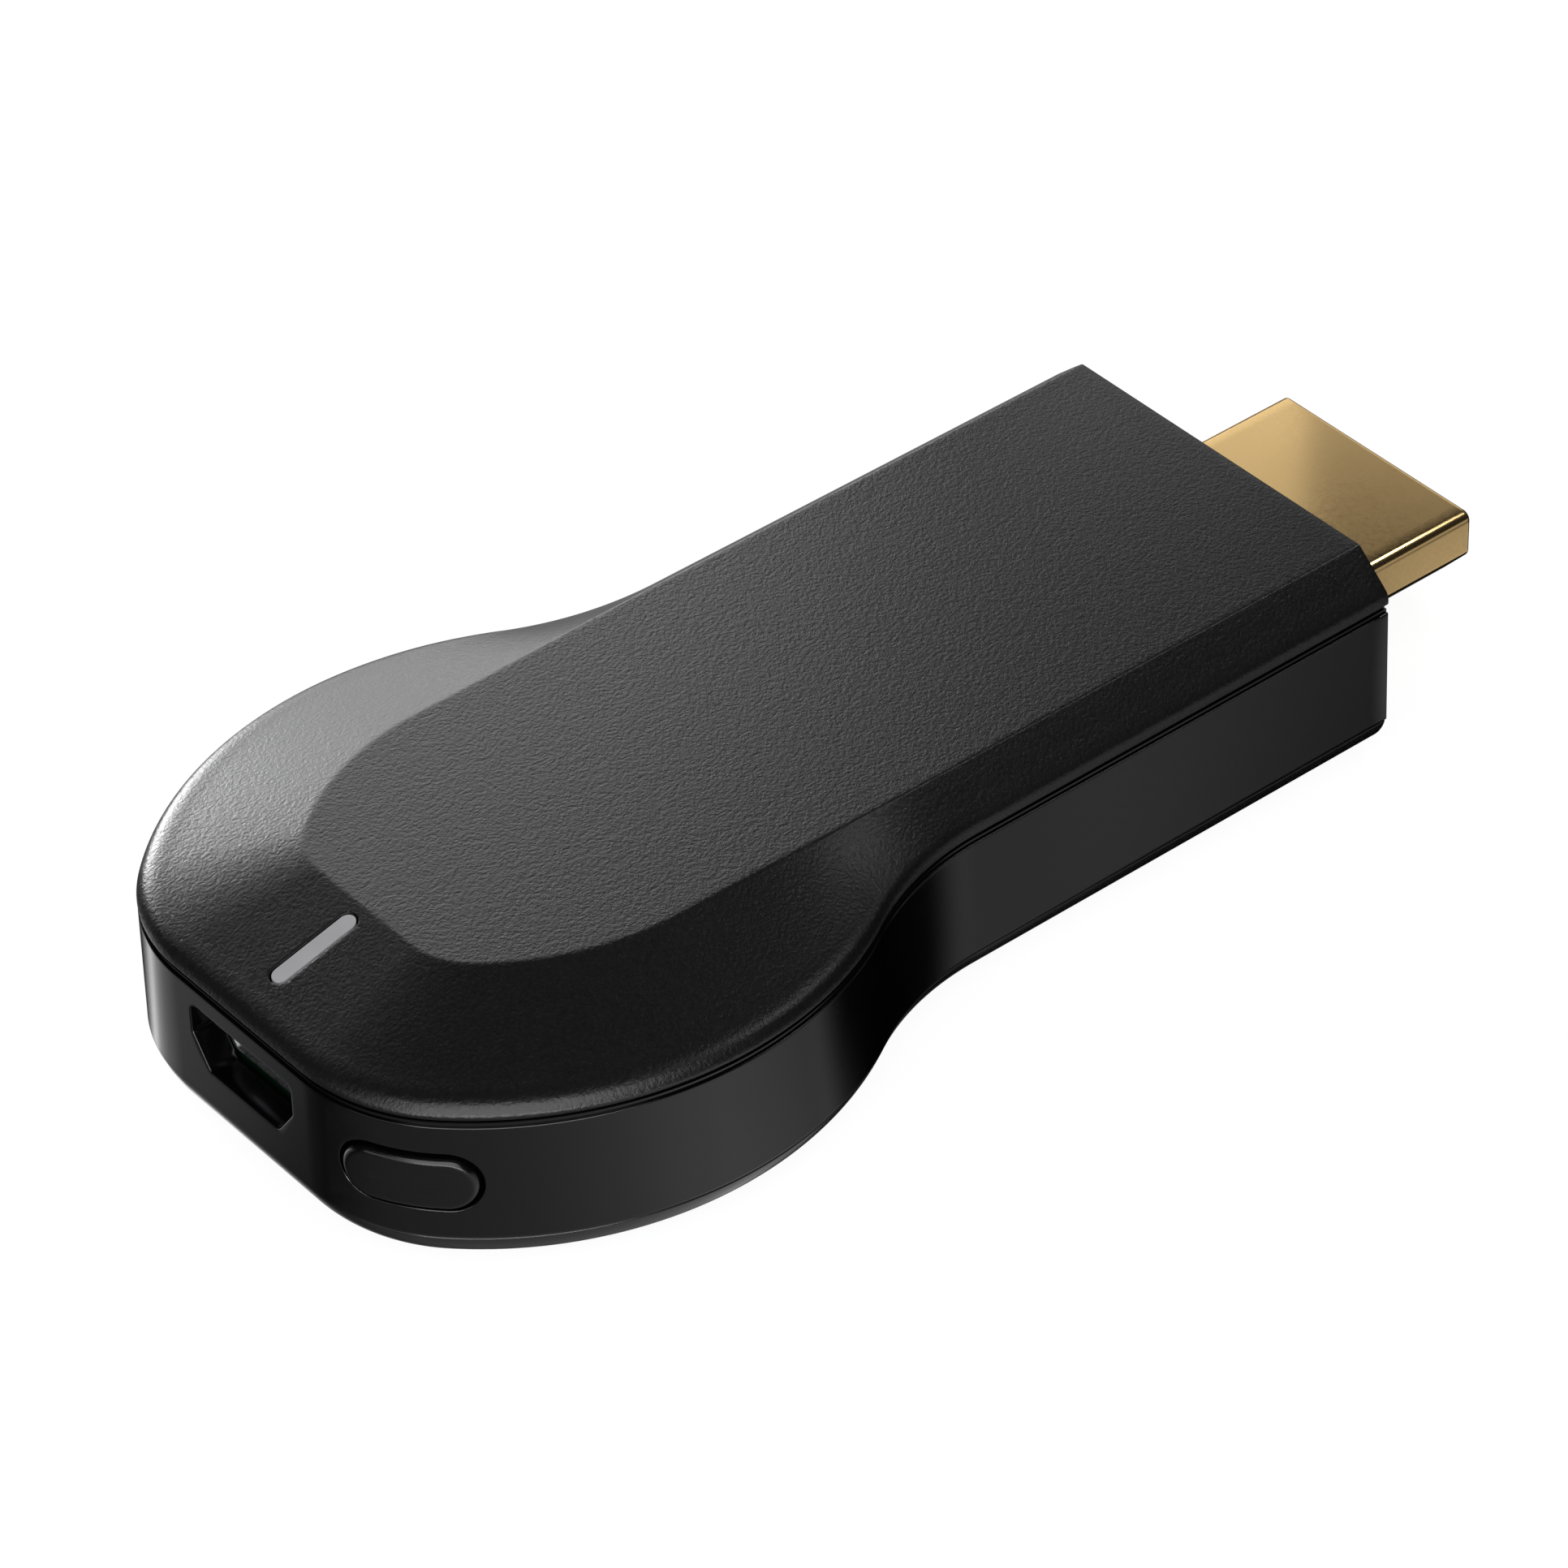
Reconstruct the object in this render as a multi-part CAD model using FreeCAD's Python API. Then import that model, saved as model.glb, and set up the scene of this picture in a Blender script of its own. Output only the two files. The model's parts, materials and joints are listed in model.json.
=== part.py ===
import FreeCAD, Part
import math
import os

# Wireless display dongle: a keyhole-shaped stick with a gold display plug on its narrow tail and a
# small power socket in its round head.  +X points along the plug, +Z is up, and the origin is under
# the middle of the whole stick, on the surface that it lies on.  All sizes are in millimetres.

# Sizes of the whole case
CASE_LENGTH = 61.0
CASE_HEIGHT = 12.0
HEAD_WIDTH = 34.85
TAIL_WIDTH = 24.9
PLUG_REACH = 11.0            # how far the plug stands out of the tail

# Plan outline: straight head end, corner arc, side arc, hollow waist arc, straight tail
CORNER_SPREAD = 12.425       # from each end of the straight head end to the side
CORNER_RADIUS = 9.45
SIDE_RADIUS = 19.25
WAIST_RADIUS = 15.6

# Raised plateau and the slope around it
PLATEAU_SETBACK = 7.57
PLATEAU_MARGIN = 2.45        # from its edge to the side of the tail
PLATEAU_FLAT = 7.1
PLATEAU_CORNER_RADIUS = 4.0
PLATEAU_SIDE_RADIUS = 14.15

# Level lines down the slope, from the rolled rim up to the brow under the plateau's edge: drop below
# the plateau, share of the plateau's setback in the head, inset at the tail, and waist radius
ROLL_FOOT = (2.6, 0.0, 0.0, 15.6)
ROLL_SIDE = (2.2, 0.013, 0.008, 15.7)
ROLL_MIDDLE = (1.93, 0.041, 0.055, 16.0)
ROLL_TOP = (1.73, 0.089, 0.17, 16.4)
SHOULDER = (1.0, 0.474, 0.83, 20.0)
BROW = (0.3, 0.842, 1.5, None)     # its sides run straight, with no waist

# Walls, seams and how the three case pieces fit together
WALL = 1.5
COVER_THICKNESS = 1.2
FLOOR_THICKNESS = 1.2
FRAME_BOTTOM = 2.35
COVER_HEIGHT = 3.0           # from the top of the side band to the plateau
FRAME_DRAFT = 0.12           # the side band is this much wider at its foot on each side
SEAM_GAP = 0.08
GROOVE_GAP = 0.25
LIP_THICKNESS = 0.7
TONGUE_HEIGHT = 0.6
TONGUE_GAP = 0.1
FOOT_TONGUE_HEIGHT = 0.85
FOOT_TONGUE_THICKNESS = 0.7
UNDERSIDE_ROUND = 3.0
UNDERSIDE_TURNS = (40.0, 65.0)     # where round its edge level outlines stand, in degrees
CUT_MARGIN = 1.0             # how far a cutting tool runs past what it cuts

# Circuit board
BOARD_BOTTOM = 3.75
BOARD_THICKNESS = 1.2
BOARD_GAP = 0.35
POST_RADIUS = 2.0
POST_SETBACK = 19.0          # from the head end
POST_MARGIN = 4.925          # from the side of the head
SCREW_RADIUS = 0.9
SCREW_HEAD_RADIUS = 1.7
SCREW_HEAD_HEIGHT = 0.9
SCREW_LENGTH = 3.2
SCREW_GAP = 0.08

# Display plug
PLUG_WIDTH = 13.9
PLUG_HEIGHT = 4.45
PLUG_SIDE = 2.5
PLUG_FOOT_WIDTH = 10.4
PLUG_CORNER = 0.5
PLUG_SKIN = 0.3
PLUG_BURIED = 5.5
PLUG_GAP = 0.12
PLUG_MOUTH_RECESS = 0.8
PLUG_SLOT_WIDTH = 11.3
PLUG_SLOT_HEIGHT = 1.9
PLUG_SLOT_DEPTH = 8.2
CONTACT_PITCH = 1.0
CONTACTS_UPPER = 10
CONTACTS_LOWER = 9
CONTACT_WIDTH = 0.42
CONTACT_THICKNESS = 0.18
CONTACT_FOOT = 1.9
CHANNEL_GAP = 0.05
LEG_LENGTH = 2.6
LEG_HEIGHT = 1.7

# Power socket
USB_WIDTH = 7.5
USB_HEIGHT = 2.65
USB_SIDE = 1.35
USB_FOOT_WIDTH = 5.6
USB_CORNER = 0.35
USB_LENGTH = 5.2
USB_SKIN = 0.25
USB_RECESS = 0.1             # behind the inner face of the wall
USB_FLARE = 0.15
USB_FLARE_LENGTH = 0.5
MOUTH_SIDE_GAP = 0.2
MOUTH_HEIGHT_GAP = 0.4
MOUTH_CORNER = 0.45
USB_TONGUE_WIDTH = 3.9
USB_TONGUE_THICKNESS = 0.6
USB_TONGUE_REACH = 3.2
USB_BASE_LENGTH = 1.0
USB_PITCH = 0.65
USB_CONTACTS = 5
USB_CONTACT_WIDTH = 0.3
USB_CONTACT_THICKNESS = 0.12

# Push button on the near corner of the head, and the switch behind it
BUTTON_ANGLE = 35.0          # of the wall's outward direction, from -X towards -Y
BUTTON_RISE = 0.75           # of its axis above the board
POCKET_LENGTH = 7.0
POCKET_HEIGHT = 3.4
CAP_GAP = 0.2
CAP_PROUD = 0.35
CAP_EDGE = 0.3
CAP_TRAVEL = 0.3
FLANGE_OVERLAP = 0.4
FLANGE_GAP = 0.1
FLANGE_THICKNESS = 0.7
CAP_POST_RADIUS = 0.9
CAP_POST_LENGTH = 0.8
CAP_POST_GAP = 0.04
PLUNGER_WIDTH = 2.2
PLUNGER_HEIGHT = 0.9
PLUNGER_OUT = 0.8
PLUNGER_IN = 1.1
SWITCH_WIDTH = 4.2
SWITCH_DEPTH = 2.7
SWITCH_HEIGHT = 1.65
SWITCH_WALL = 0.3
SWITCH_GAP = 0.06
DOME_RADIUS = 1.1
DOME_RISE = 0.25
DOME_SHEET = 0.08
TERMINAL_LENGTH = 0.7
TERMINAL_WIDTH = 0.7
TERMINAL_SHEET = 0.15
NOTCH_MARGIN = 0.35

# Light pipe on the front slope, above its lamp
PIPE_LENGTH = 4.75
PIPE_WIDTH = 0.9
PIPE_SETBACK = 4.55          # of its middle from the head end
PIPE_GAP = 0.08
PIPE_FLANGE_MARGIN = 0.7
PIPE_FLANGE_THICKNESS = 0.5
PIPE_STEM_WIDTH = 1.6
PIPE_STEM_LENGTH = 1.0
PIPE_STEM_SETBACK = 8.0
LAMP_LENGTH = 1.6
LAMP_WIDTH = 0.8
LAMP_HEIGHT = 0.6
LAMP_GAP = 0.15

# Electronics on the board: length along X, width along Y, height
PROCESSOR = (12.0, 12.0, 0.9)
MEMORY = (8.0, 12.0, 0.9)
MEMORY_MARGIN = 4.95         # from the board's tail end
FLASH = (3.9, 4.9, 1.3)
FLASH_LEAD_PITCH = 1.27
FLASH_LEAD_WIDTH = 0.4
FLASH_LEAD_REACH = 1.0
FLASH_LEAD_SHEET = 0.15
RADIO = (7.0, 6.0, 0.85)
SHIELD = (11.0, 9.0, 2.0)
SHIELD_SHEET = 0.2
SHIELD_BEVEL = 0.4
SHIELD_SLOT = (1.0, 3.0)
SHIELD_SLOT_PITCH = 2.5
PAD_THICKNESS = 0.5
SINK = (14.0, 14.0)
SINK_CLEARANCE = 0.45        # under the top cover
SINK_BASE = 1.1
SINK_FIN = 0.8
SINK_FINS = 6
COIL = (4.0, 4.0, 1.2)
CRYSTAL = (3.2, 2.5, 0.75)
REGULATOR = (2.9, 1.7, 1.1)
CAPACITOR = (0.8, 1.6, 0.8)
CAPACITOR_PITCH = 2.6
CAPACITORS = 5
GUARD = (1.0, 2.5, 0.5)
GUARD_PITCH = 3.6
GUARDS = 3
GUARD_MARGIN = 0.9
ANTENNA_LENGTH = 9.0
ANTENNA_HEIGHT = 2.6
ANTENNA_WIDTH = 1.2
ANTENNA_SHEET = 0.25
ANTENNA_FEED = 2.4

# Places on the board, as shares of the case's length from the head end and of half its width
PROCESSOR_PLACE = (0.541, 0.0)
SHIELD_PLACE = (0.303, 0.0)
FLASH_PLACE = (0.225, -0.494)
COIL_PLACES = ((0.37, -0.534), (0.448, -0.517))
CRYSTAL_PLACE = (0.443, 0.551)
REGULATOR_PLACES = ((0.189, 0.367), (0.369, 0.545))
ANTENNA_PLACE = (0.095, 0.528)

# Places that follow from the sizes
HEAD_X = (FRAME_DRAFT - CASE_LENGTH - PLUG_REACH) / 2
TAIL_X = HEAD_X + CASE_LENGTH
TIP_X = TAIL_X + PLUG_REACH
HEAD_FLAT = HEAD_WIDTH - 2 * CORNER_SPREAD
PLATEAU_WIDTH = TAIL_WIDTH - 2 * PLATEAU_MARGIN
FRAME_TOP = CASE_HEIGHT - COVER_HEIGHT
LIP_Z = FRAME_TOP + GROOVE_GAP
TONGUE_INSET = LIP_THICKNESS + TONGUE_GAP
BOARD_TOP = BOARD_BOTTOM + BOARD_THICKNESS
BUTTON_Z = BOARD_TOP + BUTTON_RISE
POST_SPACING = HEAD_WIDTH - 2 * POST_MARGIN
BOARD_INSET = WALL + BOARD_GAP
PLUG_Z = (BOARD_BOTTOM + BOARD_TOP) / 2
PLUG_BACK_X = TAIL_X - PLUG_BURIED
BOARD_END_X = PLUG_BACK_X - BOARD_GAP
USB_FRONT_X = HEAD_X + WALL + USB_RECESS
CAP_LENGTH = POCKET_LENGTH - 2 * CAP_GAP
CAP_HEIGHT = POCKET_HEIGHT - 2 * CAP_GAP
FLANGE_BACK = WALL + FLANGE_GAP + FLANGE_THICKNESS
PLUNGER_TIP = FLANGE_BACK + CAP_POST_LENGTH + CAP_POST_GAP
SWITCH_FRONT = PLUNGER_TIP + PLUNGER_OUT
FAR = 200.0                  # longer than anything here, for cutting tools

Vector = FreeCAD.Vector
Z_AXIS = Vector(0, 0, 1)


class Keyhole:
    """Plan outline of the case: straight end, corner arc, side arc, hollow waist arc, straight tail.

    The arcs keep their centres when the outline is inset, so inset outlines stay parallel.  With no
    waist the sides run straight, and `split` is where the straight side is parted in two.
    """

    def __init__(self, front, half_flat, corner, side, half_width, waist, half_tail, split=None):
        self.front = front
        self.half_flat = half_flat
        self.corner = corner
        self.side = side
        self.waist = waist
        self.half_tail = half_tail
        self.corner_centre = Vector(front + corner, half_flat, 0)
        side_y = half_width - side
        side_run = math.sqrt((side - corner) ** 2 - (half_flat - side_y) ** 2)
        self.side_centre = Vector(front + corner + side_run, side_y, 0)
        self.waist_centre = None
        self.split = split
        if split is None:
            waist_y = half_tail + waist
            waist_run = math.sqrt((side + waist) ** 2 - (waist_y - side_y) ** 2)
            self.waist_centre = Vector(self.side_centre.x + waist_run, waist_y, 0)
            self.split = self.waist_centre.x

    def half(self, inset, tail_x):
        """Points along the +Y half, and the middle point of each arc between them."""
        side = self.side - inset
        to_corner = (self.corner_centre - self.side_centre).normalize()
        to_waist = Vector(0, 1, 0)
        if self.waist_centre:
            to_waist = (self.waist_centre - self.side_centre).normalize()
        points = [
            Vector(self.front + inset, self.half_flat, 0),
            self.side_centre + to_corner * side,
            self.side_centre + to_waist * side,
            Vector(self.split, self.half_tail - inset, 0),
            Vector(tail_x, self.half_tail - inset, 0),
        ]
        middles = [
            arc_middle(self.corner_centre, self.corner - inset, points[0], points[1]),
            arc_middle(self.side_centre, side, points[1], points[2]),
            None,
            None,
        ]
        if self.waist_centre:
            middles[2] = arc_middle(self.waist_centre, self.waist + inset, points[2], points[3])
        return points, middles

    def wire(self, inset, z, tail_x):
        """Closed outline at a height, ending in a straight edge across the tail."""
        points, middles = self.half(inset, tail_x)
        upper = [Vector(p.x, p.y, z) for p in points]
        lower = [Vector(p.x, -p.y, z) for p in points]
        edges = [Part.makeLine(lower[0], upper[0])]
        for k, middle in enumerate(middles):
            edges.append(run(upper[k], middle and Vector(middle.x, middle.y, z), upper[k + 1]))
        edges.append(Part.makeLine(upper[-1], lower[-1]))
        for k in reversed(range(len(middles))):
            middle = middles[k]
            edges.append(run(lower[k + 1], middle and Vector(middle.x, -middle.y, z), lower[k]))
        return Part.Wire(edges)

    def slab(self, inset, low, high, tail_x):
        """Upright block inside the outline."""
        return Part.Face(self.wire(inset, low, tail_x)).extrude(Z_AXIS * (high - low))


def arc_middle(centre, radius, start, end):
    """Middle point of the short arc about a centre from start to end."""
    return centre + ((start - centre) + (end - centre)).normalize() * radius


def run(start, middle, end):
    """Arc through a middle point, or a straight edge where there is none."""
    if middle is None:
        return Part.makeLine(start, end)
    return Part.Arc(start, middle, end).toShape()


def mix(a, b, share):
    """The value that lies a share of the way from a to b."""
    return a + (b - a) * share


def block(low, high):
    """Box between two corners."""
    size = Vector(*high) - Vector(*low)
    return Part.makeBox(size.x, size.y, size.z, Vector(*low))


def on_board(place, size, lift=0.0):
    """Box of a size standing on the board at (x, y), lifted by a height."""
    x, y = place
    length, width, height = size
    low = (x - length / 2, y - width / 2, BOARD_TOP + lift)
    high = (x + length / 2, y + width / 2, BOARD_TOP + lift + height)
    return block(low, high)


def in_plan(place):
    """Point given as shares of the case's length from the head end and of half its width."""
    return (HEAD_X + place[0] * CASE_LENGTH, place[1] * HEAD_WIDTH / 2)


def rounded_wire(corners, radius, place):
    """Closed wire through corners (u, v), each rounded; place turns (u, v) into a point."""
    edges = []
    ends = []
    count = len(corners)
    for k in range(count):
        here = Vector(*corners[k], 0)
        back = (Vector(*corners[k - 1], 0) - here).normalize()
        ahead = (Vector(*corners[(k + 1) % count], 0) - here).normalize()
        half_angle = back.getAngle(ahead) / 2
        bisector = (back + ahead).normalize()
        start = here + back * (radius / math.tan(half_angle))
        middle = here + bisector * (radius / math.sin(half_angle) - radius)
        end = here + ahead * (radius / math.tan(half_angle))
        ends.append((start, middle, end))
    for k, (start, middle, end) in enumerate(ends):
        following = ends[(k + 1) % count][0]
        edges.append(Part.Arc(place(start), place(middle), place(end)).toShape())
        edges.append(Part.makeLine(place(end), place(following)))
    return Part.Wire(edges)


def inset_corners(corners, inset):
    """Corners of the polygon, given clockwise, whose sides are all moved in by one distance."""
    count = len(corners)
    moved = []
    for k in range(count):
        here = Vector(*corners[k], 0)
        back = (here - Vector(*corners[k - 1], 0)).normalize()
        ahead = (Vector(*corners[(k + 1) % count], 0) - here).normalize()
        inward_back = Vector(back.y, -back.x, 0)
        inward_ahead = Vector(ahead.y, -ahead.x, 0)
        bisector = (inward_back + inward_ahead).normalize()
        point = here + bisector * (inset / bisector.dot(inward_back))
        moved.append((point.x, point.y))
    return moved


def d_corners(width, height, side, foot):
    """Corners of a D-shaped section, clockwise: wide top, upright sides, tapered foot."""
    top = height / 2
    return [
        (-width / 2, top),
        (width / 2, top),
        (width / 2, top - side),
        (foot / 2, -top),
        (-foot / 2, -top),
        (-width / 2, top - side),
    ]


def d_bar(corners, radius, centre_z, start_x, end_x):
    """Bar of a D-shaped section along X."""
    wire = rounded_wire(corners, radius, lambda p: Vector(start_x, p.x, centre_z + p.y))
    return Part.Face(wire).extrude(Vector(end_x - start_x, 0, 0))


def pill_wire(length, width, place):
    """Closed outline of a pill: two straight sides and two round ends."""
    radius = width / 2
    reach = length / 2 - radius
    corners = ((-reach, radius), (reach, radius), (reach, -radius), (-reach, -radius))
    a, b, c, d = [place(Vector(*corner)) for corner in corners]
    return Part.Wire([
        Part.makeLine(a, b),
        Part.Arc(b, place(Vector(length / 2, 0)), c).toShape(),
        Part.makeLine(c, d),
        Part.Arc(d, place(Vector(-length / 2, 0)), a).toShape(),
    ])


def ribbon(path, sheet, width, y):
    """Bent strip of sheet along a path of (x, z) points, centred on y."""
    spine = [Vector(x, 0, z) for x, z in path]
    runs = [(b - a).normalize() for a, b in zip(spine, spine[1:])]
    left = []
    right = []
    for k, point in enumerate(spine):
        before = runs[max(k - 1, 0)]
        after = runs[min(k, len(runs) - 1)]
        across = Vector(-before.z, 0, before.x)
        mitre = (across + Vector(-after.z, 0, after.x)).normalize()
        offset = mitre * (sheet / 2 / mitre.dot(across))
        left.append(point + offset)
        right.append(point - offset)
    outline = left + right[::-1]
    start = Vector(0, y - width / 2, 0)
    wire = Part.makePolygon([p + start for p in outline + outline[:1]])
    return Part.Face(wire).extrude(Vector(0, width, 0))


def row(count, pitch):
    """Even places about zero."""
    return [(k - (count - 1) / 2) * pitch for k in range(count)]


CASE = Keyhole(HEAD_X, HEAD_FLAT / 2, CORNER_RADIUS, SIDE_RADIUS, HEAD_WIDTH / 2, WAIST_RADIUS,
               TAIL_WIDTH / 2)
PLATEAU = Keyhole(HEAD_X + PLATEAU_SETBACK, PLATEAU_FLAT / 2, PLATEAU_CORNER_RADIUS,
                  PLATEAU_SIDE_RADIUS, PLATEAU_WIDTH / 2, 0, PLATEAU_WIDTH / 2, CASE.split)


def slope_wire(line, inset=0.0, lower=0.0, tail_x=TAIL_X):
    """Level line down the slope: on the straight fall in the head, further out along the tail."""
    drop, share, tail_inset, waist = line
    outline = Keyhole(
        mix(HEAD_X, HEAD_X + PLATEAU_SETBACK, share),
        mix(HEAD_FLAT, PLATEAU_FLAT, share) / 2,
        mix(CORNER_RADIUS, PLATEAU_CORNER_RADIUS, share),
        mix(SIDE_RADIUS, PLATEAU_SIDE_RADIUS, share),
        mix(HEAD_WIDTH, PLATEAU_WIDTH, share) / 2,
        waist,
        TAIL_WIDTH / 2 - tail_inset,
        None if waist else CASE.split)
    return outline.wire(inset, CASE_HEIGHT - drop - lower, tail_x)


PLUG_D = d_corners(PLUG_WIDTH, PLUG_HEIGHT, PLUG_SIDE, PLUG_FOOT_WIDTH)
USB_D = d_corners(USB_WIDTH, USB_HEIGHT, USB_SIDE, USB_FOOT_WIDTH)
USB_Z = BOARD_TOP + USB_HEIGHT / 2


def at_button(shape):
    """Carry a shape from the button's own axes (X inwards, Y along the wall) to its corner."""
    angle = math.radians(BUTTON_ANGLE)
    outward = Vector(-math.cos(angle), -math.sin(angle), 0)
    corner = Vector(CASE.corner_centre.x, -CASE.corner_centre.y, 0)
    moved = shape.copy()
    moved.rotate(Vector(0, 0, 0), Z_AXIS, BUTTON_ANGLE)
    moved.translate(corner + outward * CORNER_RADIUS)
    return moved


def button_pill(length, height, start, end):
    """Pill-shaped bar through the wall at the button, between two depths."""
    wire = pill_wire(length, height, lambda p: Vector(start, p.x, BUTTON_Z + p.y))
    return at_button(Part.Face(wire).extrude(Vector(end - start, 0, 0)))


def button_block(start, end, width, low, high):
    """Box at the button, between two depths and two heights."""
    return at_button(block((start, -width / 2, low), (end, width / 2, high)))


def between(outer_inset, inner_inset, low, high):
    """Upright wall that follows the case between two insets."""
    outer = CASE.slab(outer_inset, low, high, TAIL_X)
    return outer.cut(CASE.slab(inner_inset, low, high, TAIL_X + FAR))


def plug_opening():
    """Tool for the hole that the plug leaves the case through."""
    corners = inset_corners(PLUG_D, -PLUG_GAP)
    return d_bar(corners, PLUG_CORNER + PLUG_GAP, PLUG_Z, PLUG_BACK_X, TAIL_X + CUT_MARGIN)


def slope_solid():
    """The cover's outer form down to the lip: plateau, curved slope and rolled rim."""
    lip = CASE.slab(0, LIP_Z, CASE_HEIGHT - ROLL_FOOT[0], TAIL_X)
    levels = [slope_wire(line) for line in (ROLL_FOOT, ROLL_SIDE, ROLL_MIDDLE, ROLL_TOP, SHOULDER, BROW)]
    crest = PLATEAU.wire(0, CASE_HEIGHT, TAIL_X)
    slope = Part.makeLoft(levels + [crest], True, True)
    return lip.fuse(slope).removeSplitter()


def cover_cavity(lower):
    """Space under the top cover, or the same form lowered by a distance."""
    inner_x = TAIL_X - WALL
    low = CASE.wire(WALL, LIP_Z - lower, inner_x)
    middle = slope_wire(SHOULDER, COVER_THICKNESS, COVER_THICKNESS + lower, inner_x)
    top = PLATEAU.wire(COVER_THICKNESS, CASE_HEIGHT - COVER_THICKNESS - lower, inner_x)
    return Part.makeLoft([low, middle, top], True, True)


def pipe_slot(margin, low):
    """Upright pill at the light pipe, larger by a margin."""
    wire = pill_wire(PIPE_LENGTH + 2 * margin, PIPE_WIDTH + 2 * margin,
                     lambda p: Vector(HEAD_X + PIPE_SETBACK + p.x, p.y, low))
    return Part.Face(wire).extrude(Z_AXIS * (CASE_HEIGHT - low))


def top_cover():
    """Matte cover: sloped form, hollow below, with a thin lip that hangs over the band's tongue."""
    tongue_room = CASE.slab(LIP_THICKNESS, LIP_Z, FRAME_TOP + TONGUE_HEIGHT + TONGUE_GAP,
                            TAIL_X - LIP_THICKNESS)
    cover = slope_solid().cut(cover_cavity(0)).cut(tongue_room)
    return cover.cut(pipe_slot(PIPE_GAP, FRAME_TOP))


def side_frame():
    """Drafted band with a thinner tongue on top, and the openings for plug, socket and button."""
    top = CASE.wire(0, FRAME_TOP, TAIL_X)
    foot = CASE.wire(-FRAME_DRAFT, FRAME_BOTTOM, TAIL_X)
    band = Part.makeLoft([foot, top], True, True)
    tongue = CASE.slab(TONGUE_INSET, FRAME_TOP, FRAME_TOP + TONGUE_HEIGHT, TAIL_X - TONGUE_INSET)
    inside = CASE.slab(WALL, FRAME_BOTTOM, FRAME_TOP + TONGUE_HEIGHT, TAIL_X - WALL)
    frame = band.fuse(tongue).cut(inside).cut(plug_opening())
    mouth = d_corners(USB_WIDTH + 2 * MOUTH_SIDE_GAP, USB_HEIGHT + 2 * MOUTH_HEIGHT_GAP,
                      USB_SIDE + MOUTH_HEIGHT_GAP, USB_FOOT_WIDTH - MOUTH_SIDE_GAP)
    frame = frame.cut(d_bar(mouth, MOUTH_CORNER, USB_Z, HEAD_X - CUT_MARGIN, USB_FRONT_X))
    pocket = button_pill(POCKET_LENGTH, POCKET_HEIGHT, -CUT_MARGIN, FLANGE_BACK)
    return frame.cut(pocket).removeSplitter()


def bottom_cover():
    """Tray with a large round along its edge, a tongue inside the band, and the board's supports."""
    rim_z = FRAME_BOTTOM - SEAM_GAP
    tray = tray_solid(rim_z).cut(CASE.slab(WALL, FLOOR_THICKNESS, rim_z, TAIL_X - WALL))
    outer = WALL + TONGUE_GAP
    inner = outer + FOOT_TONGUE_THICKNESS
    top_z = rim_z + FOOT_TONGUE_HEIGHT
    tongue = CASE.slab(outer, FLOOR_THICKNESS, top_z, TAIL_X - outer)
    tongue = tongue.cut(CASE.slab(inner, FLOOR_THICKNESS, top_z, TAIL_X - inner))
    tray = tray.fuse(tongue)
    for place in post_places():
        tray = tray.fuse(post(place))
    tray = tray.fuse(board_rest())
    return tray.cut(plug_opening()).removeSplitter()


def tray_solid(rim_z):
    """Block up to the rim, with the round along its edge ruled between level outlines."""
    rim_turn = math.degrees(math.asin(max(UNDERSIDE_ROUND - rim_z, 0) / UNDERSIDE_ROUND))
    levels = [CASE.wire(round_inset(rim_turn), rim_z, TAIL_X)]
    for turn in (*UNDERSIDE_TURNS, 90.0):
        z = UNDERSIDE_ROUND * (1 - math.sin(math.radians(turn)))
        levels.append(CASE.wire(round_inset(turn), z, TAIL_X))
    return Part.makeLoft(levels, True, True)


def round_inset(turn):
    """Inset of the tray's edge, a number of degrees round from upright to level."""
    return UNDERSIDE_ROUND * (1 - math.cos(math.radians(turn))) - FRAME_DRAFT


def post_places():
    """The two screw posts, one each side of the head."""
    x = HEAD_X + POST_SETBACK
    return [(x, POST_SPACING / 2), (x, -POST_SPACING / 2)]


def post(place):
    """Screw post from the tray's floor to the board."""
    base = Vector(place[0], place[1], FLOOR_THICKNESS)
    height = BOARD_BOTTOM - FLOOR_THICKNESS
    body = Part.makeCylinder(POST_RADIUS, height, base)
    return body.cut(Part.makeCylinder(SCREW_RADIUS + SCREW_GAP, height, base))


def board_rest():
    """Low wall across the tray that carries the board's tail end, notched in the middle."""
    x = BOARD_END_X - CONTACT_FOOT - 2 * BOARD_THICKNESS
    half = TAIL_WIDTH / 2 - WALL - TONGUE_GAP
    wall = block((x, -half, FLOOR_THICKNESS), (x + BOARD_THICKNESS, half, BOARD_BOTTOM))
    notch = block((x, -half / 2, 2 * FLOOR_THICKNESS), (x + BOARD_THICKNESS, half / 2, BOARD_BOTTOM))
    return wall.cut(notch)


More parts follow.
